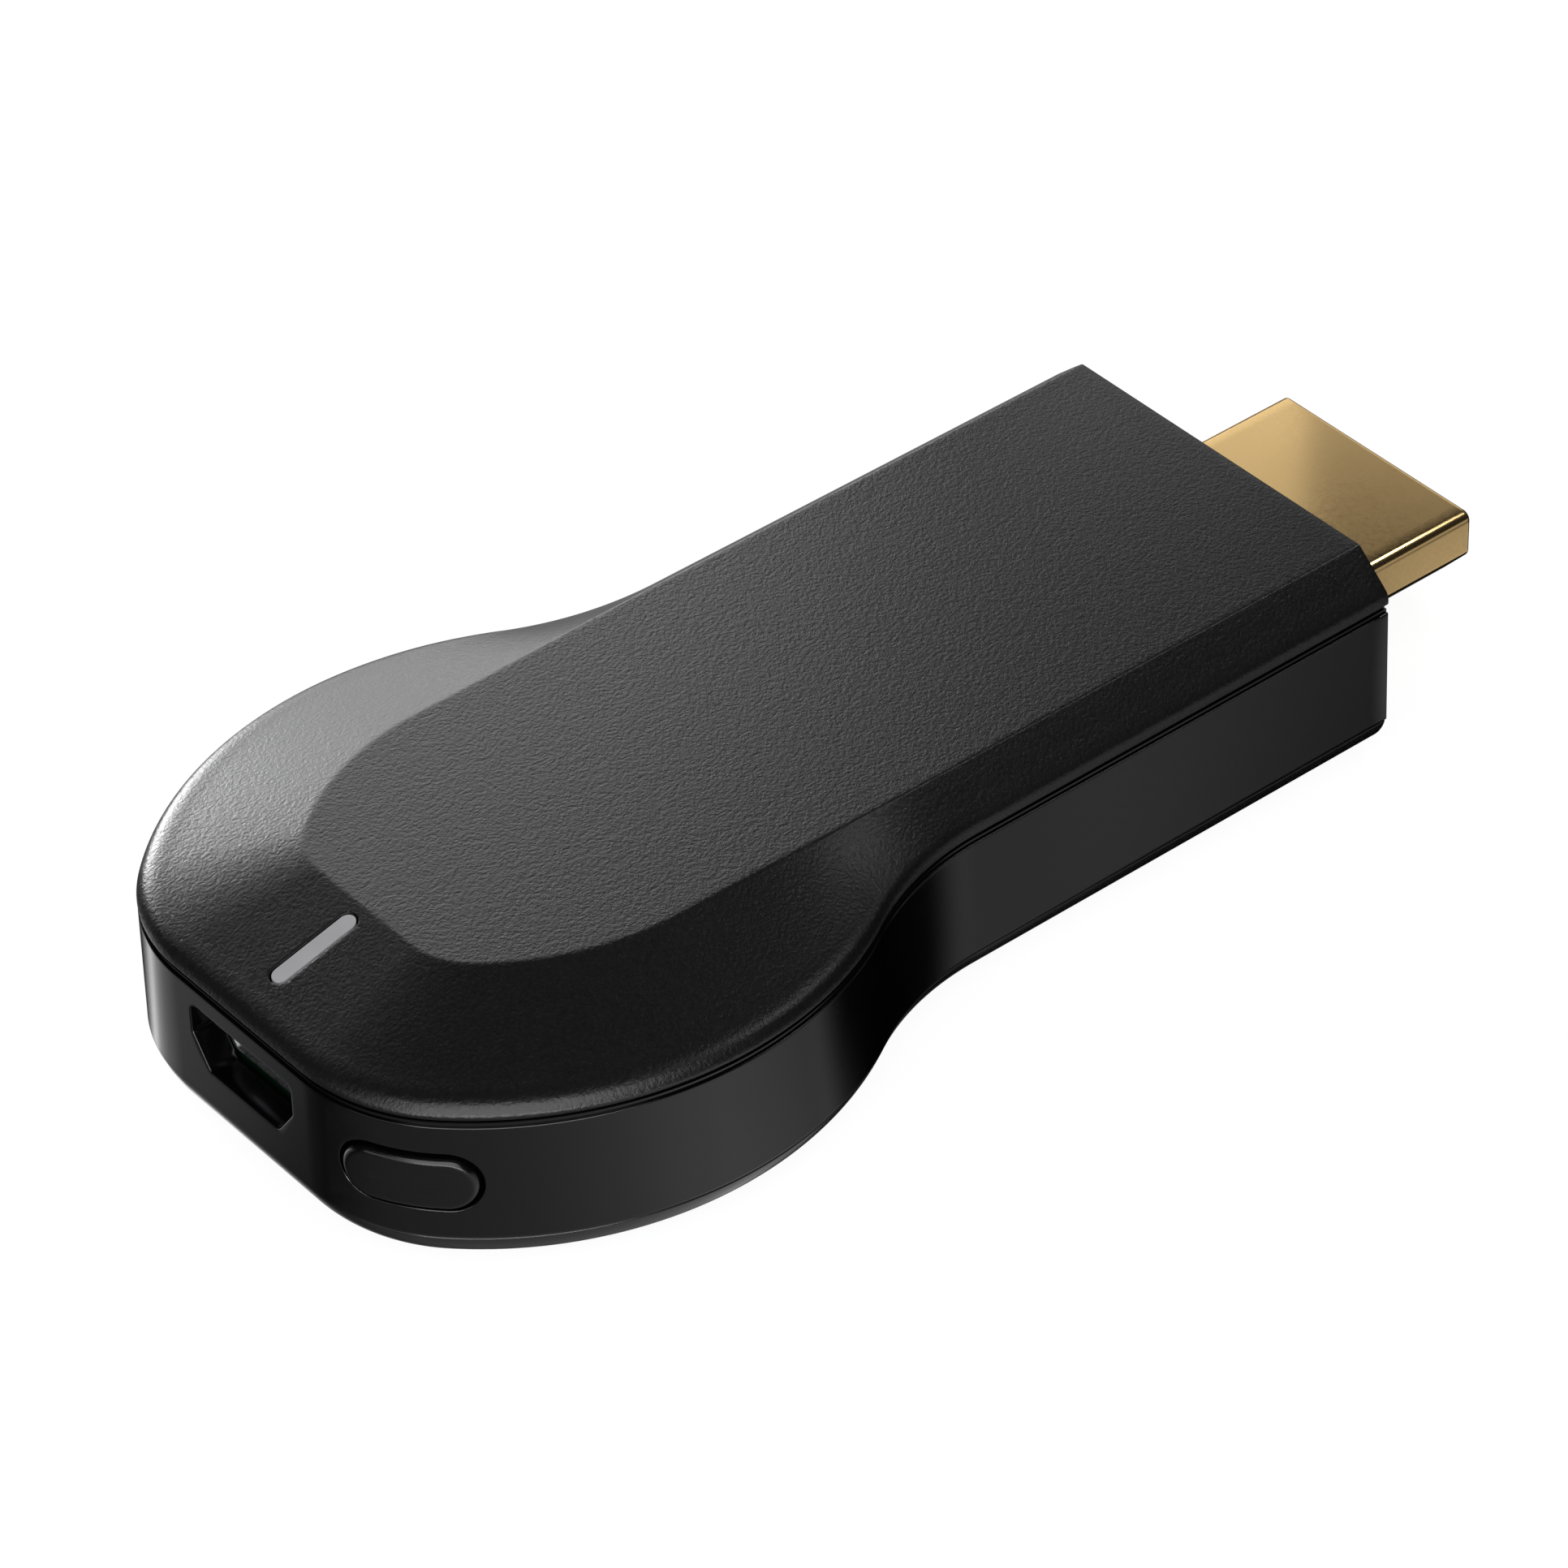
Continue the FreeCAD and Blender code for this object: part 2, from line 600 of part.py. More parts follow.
def light_pipe():
    """Clear pill set flush in the slope, with a glued flange and a stem down to the lamp."""
    lens = pipe_slot(0, FRAME_TOP).common(slope_solid()).cut(cover_cavity(PIPE_FLANGE_THICKNESS))
    flange_middle = HEAD_X + PIPE_SETBACK
    flange_front = flange_middle - PIPE_LENGTH / 2 - PIPE_FLANGE_MARGIN
    flange_back = HEAD_X + PIPE_STEM_SETBACK + PIPE_STEM_LENGTH / 2
    half = PIPE_WIDTH / 2 + PIPE_FLANGE_MARGIN
    plate = block((flange_front, -half, FRAME_TOP), (flange_back, half, CASE_HEIGHT))
    flange = plate.common(cover_cavity(0)).cut(cover_cavity(PIPE_FLANGE_THICKNESS))
    stem_x = HEAD_X + PIPE_STEM_SETBACK
    stem = block((stem_x - PIPE_STEM_LENGTH / 2, -PIPE_STEM_WIDTH / 2, BOARD_TOP + LAMP_HEIGHT + LAMP_GAP),
                 (flange_back, PIPE_STEM_WIDTH / 2, CASE_HEIGHT))
    stem = stem.common(cover_cavity(0).fuse(CASE.slab(WALL, BOARD_TOP, LIP_Z, TAIL_X - WALL)))
    return lens.fuse(flange).fuse(stem).removeSplitter()


def button_cap():
    """Cap that follows the wall, with a flange that keeps it in and a post to the switch."""
    low = BUTTON_Z - POCKET_HEIGHT
    high = BUTTON_Z + POCKET_HEIGHT
    face = button_pill(CAP_LENGTH, CAP_HEIGHT, -FAR / 20, FAR / 20)
    face = face.common(between(-CAP_PROUD, FLANGE_BACK, low, high))
    front = [e for e in face.Edges if is_cap_front(e)]
    face = face.makeChamfer(CAP_EDGE, front)
    flange = button_pill(POCKET_LENGTH + 2 * FLANGE_OVERLAP, POCKET_HEIGHT + 2 * FLANGE_OVERLAP,
                         -FAR / 20, FAR / 20)
    flange = flange.common(between(WALL + FLANGE_GAP, FLANGE_BACK, low, high))
    post_start = WALL + FLANGE_GAP
    stub = Part.makeCylinder(CAP_POST_RADIUS, FLANGE_BACK + CAP_POST_LENGTH - post_start,
                             Vector(post_start, 0, BUTTON_Z), Vector(1, 0, 0))
    return face.fuse(flange).fuse(at_button(stub)).removeSplitter()


def is_cap_front(edge):
    """True for the edges around the cap's outer face, which all lie outside the case."""
    outside = CASE.slab(-CAP_PROUD / 2, 0, CASE_HEIGHT, TAIL_X)
    return not any(outside.isInside(v.Point, 1e-4, True) for v in edge.Vertexes)


def plug_shell():
    """Drawn metal skin of the plug, open at both ends, with two legs into the board."""
    outer = d_bar(PLUG_D, PLUG_CORNER, PLUG_Z, PLUG_BACK_X, TIP_X)
    inner_corners = inset_corners(PLUG_D, PLUG_SKIN)
    inner = d_bar(inner_corners, PLUG_CORNER - PLUG_SKIN, PLUG_Z, PLUG_BACK_X - CUT_MARGIN,
                  TIP_X + CUT_MARGIN)
    shell = outer.cut(inner)
    for side in (-1, 1):
        shell = shell.fuse(plug_leg(side, 0))
    return shell.removeSplitter()


def plug_leg(side, margin):
    """Leg at the back of the plug's skin, or the slot that it needs."""
    outer_y = PLUG_WIDTH / 2 + margin
    inner_y = PLUG_WIDTH / 2 - PLUG_SKIN - margin
    ys = sorted((side * inner_y, side * outer_y))
    top = PLUG_Z + PLUG_HEIGHT / 2 - PLUG_CORNER
    low = (PLUG_BACK_X - LEG_LENGTH - margin, ys[0], top - LEG_HEIGHT - margin)
    return block(low, (PLUG_BACK_X + PLUG_SKIN, ys[1], top + margin))


def contact_path(side):
    """Spring contact along (x, z): sprung nose, straight beam, and a foot on the board."""
    nose_x = TIP_X - 2.2 * PLUG_MOUTH_RECESS
    foot_z = PLUG_Z + side * (BOARD_THICKNESS + CONTACT_THICKNESS) / 2
    beam_z = PLUG_Z + side * (PLUG_SLOT_HEIGHT / 2 + CONTACT_THICKNESS)
    nose_z = PLUG_Z + side * (PLUG_SLOT_HEIGHT / 2 - CONTACT_THICKNESS)
    bend_x = PLUG_BACK_X - CONTACT_THICKNESS
    return [
        (nose_x, beam_z),
        (nose_x - 2 * CONTACT_WIDTH, nose_z),
        (nose_x - 8 * CONTACT_WIDTH, beam_z),
        (bend_x, beam_z),
        (BOARD_END_X - CONTACT_THICKNESS, foot_z),
        (BOARD_END_X - CONTACT_FOOT, foot_z),
    ]


def plug_contacts(side, count):
    """One row of contacts: side 1 is the upper row, and -1 the lower."""
    path = contact_path(side)
    return [ribbon(path, CONTACT_THICKNESS, CONTACT_WIDTH, y) for y in row(count, CONTACT_PITCH)]


def plug_insulator():
    """Plastic core of the plug: a slot for the socket's tongue, with a channel for each contact."""
    corners = inset_corners(PLUG_D, PLUG_SKIN + CHANNEL_GAP)
    radius = PLUG_CORNER - PLUG_SKIN - CHANNEL_GAP
    front_x = TIP_X - PLUG_MOUTH_RECESS
    core = d_bar(corners, radius, PLUG_Z, PLUG_BACK_X, front_x)
    half = PLUG_SLOT_HEIGHT / 2
    slot = block((front_x - PLUG_SLOT_DEPTH, -PLUG_SLOT_WIDTH / 2, PLUG_Z - half),
                 (front_x + CUT_MARGIN, PLUG_SLOT_WIDTH / 2, PLUG_Z + half))
    core = core.cut(slot)
    depth = 1.5 * CONTACT_THICKNESS + CHANNEL_GAP
    for side, count in ((1, CONTACTS_UPPER), (-1, CONTACTS_LOWER)):
        zs = sorted((PLUG_Z + side * (half - CHANNEL_GAP), PLUG_Z + side * (half + depth)))
        for y in row(count, CONTACT_PITCH):
            reach = CONTACT_WIDTH / 2 + CHANNEL_GAP
            core = core.cut(block((PLUG_BACK_X - CUT_MARGIN, y - reach, zs[0]),
                                  (front_x - PLUG_MOUTH_RECESS / 2, y + reach, zs[1])))
    return core


def usb_shell():
    """Socket skin: D-shaped, open at the front, with a small flare around its mouth."""
    end_x = USB_FRONT_X + USB_LENGTH
    mouth_end = USB_FRONT_X + USB_FLARE_LENGTH
    outer = d_bar(USB_D, USB_CORNER, USB_Z, USB_FRONT_X, end_x)
    flare_corners = inset_corners(USB_D, -USB_FLARE)
    flare = Part.makeLoft([
        d_front(flare_corners, USB_CORNER + USB_FLARE, USB_FRONT_X),
        d_front(USB_D, USB_CORNER, mouth_end)], True, True)
    inner_corners = inset_corners(USB_D, USB_SKIN)
    inner_radius = USB_CORNER - USB_SKIN
    inner = d_bar(inner_corners, inner_radius, USB_Z, USB_FRONT_X - CUT_MARGIN, end_x - USB_SKIN)
    inner_flare = Part.makeLoft([
        d_front(inset_corners(USB_D, USB_SKIN - USB_FLARE), inner_radius + USB_FLARE, USB_FRONT_X),
        d_front(inner_corners, inner_radius, mouth_end)], True, True)
    above_board = block((-FAR, -FAR, BOARD_TOP), (FAR, FAR, CASE_HEIGHT))
    return outer.fuse(flare).cut(inner).cut(inner_flare).common(above_board).removeSplitter()


def d_front(corners, radius, x):
    """D-shaped outline in the plane across X."""
    return rounded_wire(corners, radius, lambda p: Vector(x, p.x, USB_Z + p.y))


def usb_tongue():
    """Plastic base in the back of the socket, with the tongue that carries its contacts."""
    gap = CHANNEL_GAP
    back_x = USB_FRONT_X + USB_LENGTH - USB_SKIN - gap
    corners = inset_corners(USB_D, USB_SKIN + gap)
    base = d_bar(corners, USB_CORNER - USB_SKIN - gap, USB_Z, back_x - USB_BASE_LENGTH, back_x)
    half = USB_TONGUE_THICKNESS / 2
    tongue = block((back_x - USB_BASE_LENGTH - USB_TONGUE_REACH, -USB_TONGUE_WIDTH / 2, USB_Z - half),
                   (back_x, USB_TONGUE_WIDTH / 2, USB_Z + half))
    tongue = tongue.makeChamfer(half / 2, [e for e in tongue.Edges if is_tongue_nose(e, tongue)])
    return base.fuse(tongue).removeSplitter()


def is_tongue_nose(edge, tongue):
    """True for the two level edges at the tongue's front."""
    front = tongue.BoundBox.XMin
    across = abs(edge.Vertexes[0].Y - edge.Vertexes[-1].Y) > USB_TONGUE_THICKNESS
    return across and all(abs(v.X - front) < 1e-5 for v in edge.Vertexes)


def usb_contacts():
    """Five flat contacts under the socket's tongue."""
    z = USB_Z - USB_TONGUE_THICKNESS / 2 - USB_CONTACT_THICKNESS / 2
    end_x = USB_FRONT_X + USB_LENGTH - USB_SKIN - CHANNEL_GAP - USB_BASE_LENGTH
    start_x = end_x - 0.9 * USB_TONGUE_REACH
    path = [(start_x, z), (end_x, z)]
    return [ribbon(path, USB_CONTACT_THICKNESS, USB_CONTACT_WIDTH, y) for y in row(USB_CONTACTS, USB_PITCH)]


def main_board():
    """Board that fills the case, with a notch at the button, slots for the plug and screw holes."""
    board = CASE.slab(BOARD_INSET, BOARD_BOTTOM, BOARD_TOP, BOARD_END_X)
    notch_depth = SWITCH_FRONT + NOTCH_MARGIN
    notch_width = POCKET_LENGTH + 2 * FLANGE_OVERLAP + 2 * NOTCH_MARGIN
    board = board.cut(button_block(-WALL, notch_depth, notch_width, BOARD_BOTTOM, BOARD_TOP))
    for side in (-1, 1):
        board = board.cut(plug_leg(side, SCREW_GAP))
    for x, y in post_places():
        hole = Part.makeCylinder(SCREW_RADIUS + SCREW_GAP, BOARD_THICKNESS, Vector(x, y, BOARD_BOTTOM))
        board = board.cut(hole)
    return board


def board_screws():
    """Two flat-headed screws, each with a cross recess, from the board into the posts."""
    screws = []
    for x, y in post_places():
        shank = Part.makeCylinder(SCREW_RADIUS, SCREW_LENGTH, Vector(x, y, BOARD_TOP - SCREW_LENGTH))
        head = Part.makeCylinder(SCREW_HEAD_RADIUS, SCREW_HEAD_HEIGHT, Vector(x, y, BOARD_TOP))
        screw = head.fuse(shank)
        reach = SCREW_HEAD_RADIUS * 0.55
        bit = SCREW_HEAD_RADIUS * 0.12
        top = BOARD_TOP + SCREW_HEAD_HEIGHT
        for half_x, half_y in ((reach, bit), (bit, reach)):
            slot = block((x - half_x, y - half_y, top - SCREW_HEAD_HEIGHT / 2),
                         (x + half_x, y + half_y, top))
            screw = screw.cut(slot)
        screws.append(screw.removeSplitter())
    return screws


def switch_body():
    """Side-push switch: a box on the board's edge with a cavity for its plunger and dome."""
    back = SWITCH_FRONT + SWITCH_DEPTH
    box = button_block(SWITCH_FRONT, back, SWITCH_WIDTH, BOARD_TOP, BOARD_TOP + SWITCH_HEIGHT)
    half = PLUNGER_HEIGHT / 2 + SWITCH_GAP
    mouth = button_block(SWITCH_FRONT, SWITCH_FRONT + SWITCH_WALL, PLUNGER_WIDTH + 2 * SWITCH_GAP,
                         BUTTON_Z - half, BUTTON_Z + half)
    room = button_block(SWITCH_FRONT + SWITCH_WALL, back - SWITCH_WALL, SWITCH_WIDTH - 4 * SWITCH_WALL,
                        BUTTON_Z - half, BUTTON_Z + half)
    return box.cut(mouth).cut(room)


def switch_plunger():
    """Plunger that the cap pushes; its rounded nose stands out of the switch."""
    half = PLUNGER_HEIGHT / 2
    tip = SWITCH_FRONT - PLUNGER_OUT
    bar = block((tip, -PLUNGER_WIDTH / 2, BUTTON_Z - half),
                (SWITCH_FRONT + PLUNGER_IN, PLUNGER_WIDTH / 2, BUTTON_Z + half))
    nose = [e for e in bar.Edges if e.BoundBox.XMax < tip + 1e-5 and e.BoundBox.ZLength > half]
    return at_button(bar.makeFillet(PLUNGER_WIDTH / 4, nose))


def switch_dome():
    """Thin sprung leaf behind the plunger, bowed towards it, one travel away."""
    crown_x = SWITCH_FRONT + PLUNGER_IN + CAP_TRAVEL + SWITCH_GAP
    half_bow = [(0, DOME_RADIUS * 0.4), (DOME_RISE / 2, DOME_RADIUS * 0.75), (DOME_RISE, DOME_RADIUS)]
    bow = [(back, -y) for back, y in reversed(half_bow)] + half_bow
    front = [Vector(crown_x + back, y, BUTTON_Z - PLUNGER_HEIGHT / 2) for back, y in bow]
    rear = [point + Vector(DOME_SHEET, 0, 0) for point in reversed(front)]
    outline = Part.makePolygon(front + rear + front[:1])
    return at_button(Part.Face(outline).extrude(Z_AXIS * PLUNGER_HEIGHT))


def switch_terminals():
    """Four solder tabs, two on each side of the switch."""
    tabs = []
    for side in (-1, 1):
        for share in (0.25, 0.75):
            x = SWITCH_FRONT + SWITCH_DEPTH * share
            ys = sorted((side * SWITCH_WIDTH / 2, side * (SWITCH_WIDTH / 2 + TERMINAL_LENGTH)))
            tab = block((x - TERMINAL_WIDTH / 2, ys[0], BOARD_TOP),
                        (x + TERMINAL_WIDTH / 2, ys[1], BOARD_TOP + TERMINAL_SHEET))
            tabs.append(at_button(tab))
    return tabs


def status_lamp():
    """Small lamp with a domed lens, under the light pipe's stem."""
    place = (HEAD_X + PIPE_STEM_SETBACK, 0)
    body = on_board(place, (LAMP_LENGTH, LAMP_WIDTH, LAMP_HEIGHT))
    top = [e for e in body.Edges if e.BoundBox.ZMin > BOARD_TOP + LAMP_HEIGHT / 2]
    return body.makeChamfer(LAMP_HEIGHT / 4, top)


def memory_place():
    """The memory keeps its distance from the board's tail end."""
    return (BOARD_END_X - MEMORY_MARGIN - MEMORY[0] / 2, 0)


def chip(place, size):
    """Square chip with a small bevel around its top."""
    body = on_board(place, size)
    top = [e for e in body.Edges if e.BoundBox.ZMin > BOARD_TOP + size[2] / 2]
    return body.makeChamfer(size[2] * 0.15, top)


def flash_leads():
    """Eight bent leads, four on each side of the flash chip."""
    x0, y0 = in_plan(FLASH_PLACE)
    leads = []
    for side in (-1, 1):
        start = x0 + side * FLASH[0] / 2
        middle = start + side * FLASH_LEAD_REACH * 0.4
        end = start + side * FLASH_LEAD_REACH
        low = BOARD_TOP + FLASH_LEAD_SHEET / 2
        high = BOARD_TOP + FLASH[2] / 2
        path = [(start, high), (middle, high), (middle + side * FLASH_LEAD_SHEET, low), (end, low)]
        for y in row(4, FLASH_LEAD_PITCH):
            leads.append(ribbon(path, FLASH_LEAD_SHEET, FLASH_LEAD_WIDTH, y0 + y))
    return leads


def bevelled_box(place, size, bevel):
    """Box on the board with bevelled upright and top edges."""
    box = on_board(place, size)
    return box.makeChamfer(bevel, [e for e in box.Edges if e.BoundBox.ZMax > BOARD_TOP + size[2] / 2])


def radio_shield():
    """Pressed metal can over the radio chip, with a row of vents in its roof."""
    place = in_plan(SHIELD_PLACE)
    length, width, height = SHIELD
    room = (length - 2 * SHIELD_SHEET, width - 2 * SHIELD_SHEET, height - SHIELD_SHEET)
    can = bevelled_box(place, SHIELD, SHIELD_BEVEL)
    can = can.cut(bevelled_box(place, room, SHIELD_BEVEL - SHIELD_SHEET / 2))
    for dx in row(3, SHIELD_SLOT_PITCH):
        slot = (SHIELD_SLOT[0], SHIELD_SLOT[1], height)
        can = can.cut(on_board((place[0] + dx, place[1]), slot, height / 2))
    return can


def thermal_pad():
    """Soft pad between the processor and its heat sink."""
    size = (PROCESSOR[0], PROCESSOR[1], PAD_THICKNESS)
    return on_board(in_plan(PROCESSOR_PLACE), size, PROCESSOR[2])


def heat_sink():
    """Finned block on the processor: a base plate with upright fins along the stick."""
    place = in_plan(PROCESSOR_PLACE)
    length, width = SINK
    lift = PROCESSOR[2] + PAD_THICKNESS
    height = CASE_HEIGHT - COVER_THICKNESS - SINK_CLEARANCE - BOARD_TOP - lift
    sink = on_board(place, (length, width, SINK_BASE), lift)
    for dy in row(SINK_FINS, (width - SINK_FIN) / (SINK_FINS - 1)):
        fin = on_board((place[0], place[1] + dy), (length, SINK_FIN, height), lift)
        sink = sink.fuse(fin)
    return sink.removeSplitter()


def power_coils():
    """Two moulded coils with bevelled corners."""
    coils = []
    for place in COIL_PLACES:
        coil = on_board(in_plan(place), COIL)
        corners = [e for e in coil.Edges if e.BoundBox.ZLength > COIL[2] / 2]
        coils.append(coil.makeChamfer(COIL[0] * 0.12, corners))
    return coils


def capacitors():
    """Row of small capacitors beside the processor."""
    x = in_plan(PROCESSOR_PLACE)[0] - PROCESSOR[0] / 2 - CAPACITOR[0] * 1.4
    return [on_board((x, y), CAPACITOR) for y in row(CAPACITORS, CAPACITOR_PITCH)]


def line_guards():
    """Small guard chips in a row in front of the plug's contacts."""
    x = BOARD_END_X - CONTACT_FOOT - GUARD_MARGIN
    return [on_board((x, y), GUARD) for y in row(GUARDS, GUARD_PITCH)]


def antenna():
    """Stamped strip on two legs beside the socket."""
    x, y = in_plan(ANTENNA_PLACE)
    half = ANTENNA_SHEET / 2
    top = BOARD_TOP + ANTENNA_HEIGHT
    bent = ribbon([(x + half, BOARD_TOP), (x + half, top - half), (x + ANTENNA_LENGTH, top - half)],
                  ANTENNA_SHEET, ANTENNA_WIDTH, y)
    feed = block((x + ANTENNA_FEED, y - ANTENNA_WIDTH / 4, BOARD_TOP),
                 (x + ANTENNA_FEED + ANTENNA_SHEET, y + ANTENNA_WIDTH / 4, top - half))
    return bent.fuse(feed).removeSplitter()


def group(solids):
    """Several separate solids as one node."""
    return Part.makeCompound(solids)


def parts():
    """Every node of the stick and its shape."""
    return {
        "top_cover": top_cover(),
        "side_frame": side_frame(),
        "bottom_cover": bottom_cover(),
        "light_pipe": light_pipe(),
        "button_cap": button_cap(),
        "plug_shell": plug_shell(),
        "plug_insulator": plug_insulator(),
        "plug_contacts_upper": group(plug_contacts(1, CONTACTS_UPPER)),
        "plug_contacts_lower": group(plug_contacts(-1, CONTACTS_LOWER)),
        "usb_shell": usb_shell(),
        "usb_tongue": usb_tongue(),
        "usb_contacts": group(usb_contacts()),
        "main_board": main_board(),
        "board_screws": group(board_screws()),
        "switch_body": switch_body(),
        "switch_plunger": switch_plunger(),
        "switch_dome": switch_dome(),
        "switch_terminals": group(switch_terminals()),
        "status_lamp": status_lamp(),
        "processor": chip(in_plan(PROCESSOR_PLACE), PROCESSOR),
        "memory_chip": chip(memory_place(), MEMORY),
        "flash_chip": chip(in_plan(FLASH_PLACE), FLASH),
        "flash_leads": group(flash_leads()),
        "radio_chip": chip(in_plan(SHIELD_PLACE), RADIO),
        "radio_shield": radio_shield(),
        "thermal_pad": thermal_pad(),
        "heat_sink": heat_sink(),
        "power_coils": group(power_coils()),
        "power_regulators": group([chip(in_plan(place), REGULATOR) for place in REGULATOR_PLACES]),
        "crystal": chip(in_plan(CRYSTAL_PLACE), CRYSTAL),
        "capacitors": group(capacitors()),
        "line_guards": group(line_guards()),
        "antenna": antenna(),
    }


def main():
    os.makedirs("parts", exist_ok=True)
    for name, shape in parts().items():
        solids = shape.Solids
        if not solids or not shape.isValid():
            raise ValueError("no sound solid in " + name)
        shape.exportStep("parts/" + name + ".step")
        print(name, len(solids), "solids", round(shape.Volume, 2), "mm3", len(shape.Faces), "faces")


main()
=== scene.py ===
import json
import math

import bmesh
import bpy
import numpy as np
from mathutils import Matrix, Vector

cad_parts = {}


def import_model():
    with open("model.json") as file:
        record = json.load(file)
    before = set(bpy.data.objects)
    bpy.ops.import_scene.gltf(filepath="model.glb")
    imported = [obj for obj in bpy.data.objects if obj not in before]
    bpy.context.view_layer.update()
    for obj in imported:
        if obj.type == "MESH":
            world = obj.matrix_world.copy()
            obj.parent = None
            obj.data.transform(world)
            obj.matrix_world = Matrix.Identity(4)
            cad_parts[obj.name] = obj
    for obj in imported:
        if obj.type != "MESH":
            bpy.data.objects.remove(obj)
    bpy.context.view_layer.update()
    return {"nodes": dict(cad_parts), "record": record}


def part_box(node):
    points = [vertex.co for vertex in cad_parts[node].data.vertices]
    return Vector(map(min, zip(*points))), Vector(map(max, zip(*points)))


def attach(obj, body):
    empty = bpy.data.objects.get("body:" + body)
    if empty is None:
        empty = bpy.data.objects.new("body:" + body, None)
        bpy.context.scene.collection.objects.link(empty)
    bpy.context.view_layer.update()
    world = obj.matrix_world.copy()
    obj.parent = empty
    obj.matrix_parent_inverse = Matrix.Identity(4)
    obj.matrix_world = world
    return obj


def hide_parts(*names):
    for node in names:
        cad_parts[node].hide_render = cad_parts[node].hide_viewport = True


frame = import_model()

# All sizes below are in millimetres, in the frame's own axes; meshes are made in metres.
MM = 0.001


def frame_mm(node):
    """Lowest and highest corner of one of the frame's nodes, in millimetres."""
    low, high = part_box(node)
    return np.array(low) / MM, np.array(high) / MM


COVER_LOW, COVER_HIGH = frame_mm("top_cover")
HEAD_X = round(float(COVER_LOW[0]), 3)
TAIL_X = round(float(COVER_HIGH[0]), 3)
TIP_X = round(float(frame_mm("plug_shell")[1][0]), 3)
CASE_TOP = 12.0

# Plan outline of the case, as half widths and radii
HEAD_FLAT = 5.0
CORNER_RADIUS = 9.45
SIDE_RADIUS = 19.25
HEAD_HALF = 17.425
WAIST_RADIUS = 15.6
TAIL_HALF = 12.45
WAIST_END_X = HEAD_X + 34.43

# Plateau outline
PLATEAU_SETBACK = 7.57
PLATEAU_FLAT = 3.55
PLATEAU_CORNER = 4.0
PLATEAU_SIDE = 14.15
PLATEAU_HALF = 10.0

# Heights and walls
LIP_Z = 9.25                 # foot of the lip under the cover
RIM_FOOT = 9.56              # foot of the cover's outer rim
BAND_TOP = 9.0
BAND_FOOT = 2.35
BASE_RIM = 2.27
FACE_LOW = 3.1               # the stretch of the band's face that holds its openings
FACE_HIGH = 8.55
DRAFT = 0.12                 # how far the band's foot stands out past its top
WALL = 1.5
COVER_THICKNESS = 1.2
FLOOR_THICKNESS = 1.2
LIP_THICKNESS = 0.7
LIP_INSET = 0.25             # how far the lip stands back under the cover's rim
BEAD_INSET = 0.13            # bead that stands on the band under the cover's rim
BEAD_TOP = 9.2
TONGUE_INSET = 0.8
TONGUE_TOP = 9.6
TONGUE_SINK = 0.1            # how far the tongue's run across the tail is sunk into the wall
ROOM_TOP = TONGUE_TOP + 0.1  # roof of the room that the cover leaves for the tongue
UNDERSIDE_ROUND = 3.0
FALL_FOOT_Z = 10.1           # height at which the flat front fall would meet the head's end
END_EDGE = 0.12              # bevel round the tail's end
SEAM_EDGE = 0.12             # bevel along the band's foot
BRIM_EDGE = 0.06             # bevel along the band's top
HOLE_EDGE = 0.07             # bevel round the openings in the band
TRAY_EDGE = 0.1              # bevel along the tray's rim
SLOT_EDGE = 0.05             # bevel round the light pipe's slot

# Level lines down the slope: height, share of the plateau's setback in the head, inset at the tail
SLOPE_LINES = (
    (RIM_FOOT, 0.0, 0.0),
    (9.62, 0.0, 0.0),
    (9.75, 0.006, 0.0),
    (9.95, 0.025, 0.03),
    (10.14, 0.053, 0.11),
    (10.27, 0.089, 0.22),
    (10.48, 0.2, 0.44),
    (11.0, 0.474, 1.03),
    (11.45, 0.711, 1.54),
    (11.74, 0.863, 1.88),
    (11.90, 0.947, 2.07),
    (11.966, 0.9815, 2.15),
    (11.992, 0.9985, 2.20),
    (12.0, 1.012, 2.30),
)
ROWS_BETWEEN = (1, 3, 3, 2, 2, 3, 6, 5, 4, 3, 2, 2, 1)
SLOT_FROM = 6                # the slope lines that bound the light pipe's block
SLOT_TO = 10
INNER_FROM = 6               # the first slope line that the underside follows

# Openings in the band: centre height, and sizes along and up the wall
MOUTH_Z = 6.275
MOUTH_HALF = 3.95
MOUTH_HEIGHT = 3.45
MOUTH_SIDE = 1.75
MOUTH_FOOT_HALF = 2.7
MOUTH_CORNER = 0.45
BUTTON_ANGLE = 35.0
BUTTON_Z = 5.7
POCKET_LENGTH = 7.0
POCKET_HEIGHT = 3.4
CAP_GAP = 0.2
CAP_PROUD = 0.35
FLANGE_GAP = 0.1
FLANGE_MARGIN = 0.6          # from the cap's side to the flange's edge
FLANGE_DEPTH = 0.7
CAP_ROUND = 0.32             # round along the edge of the cap's face
CAP_RINGS = (1.2, 0.8, 0.5)  # insets of the pills across the cap's face

# Light pipe
PIPE_MIDDLE = HEAD_X + 4.55
PIPE_LENGTH = 4.75
PIPE_WIDTH = 0.9
PIPE_GAP = 0.11

# Display plug
PLUG_Z = 4.35
PLUG_HALF = 6.95
PLUG_HEIGHT = 4.45
PLUG_SIDE = 2.5
PLUG_FOOT_HALF = 5.2
PLUG_CORNER = 0.5
PLUG_SKIN = 0.3
PLUG_BACK_X = TAIL_X - 5.5
PLUG_GAP = 0.12
PLUG_BELT = 3.0              # a row this far behind the mouth keeps the long faces short

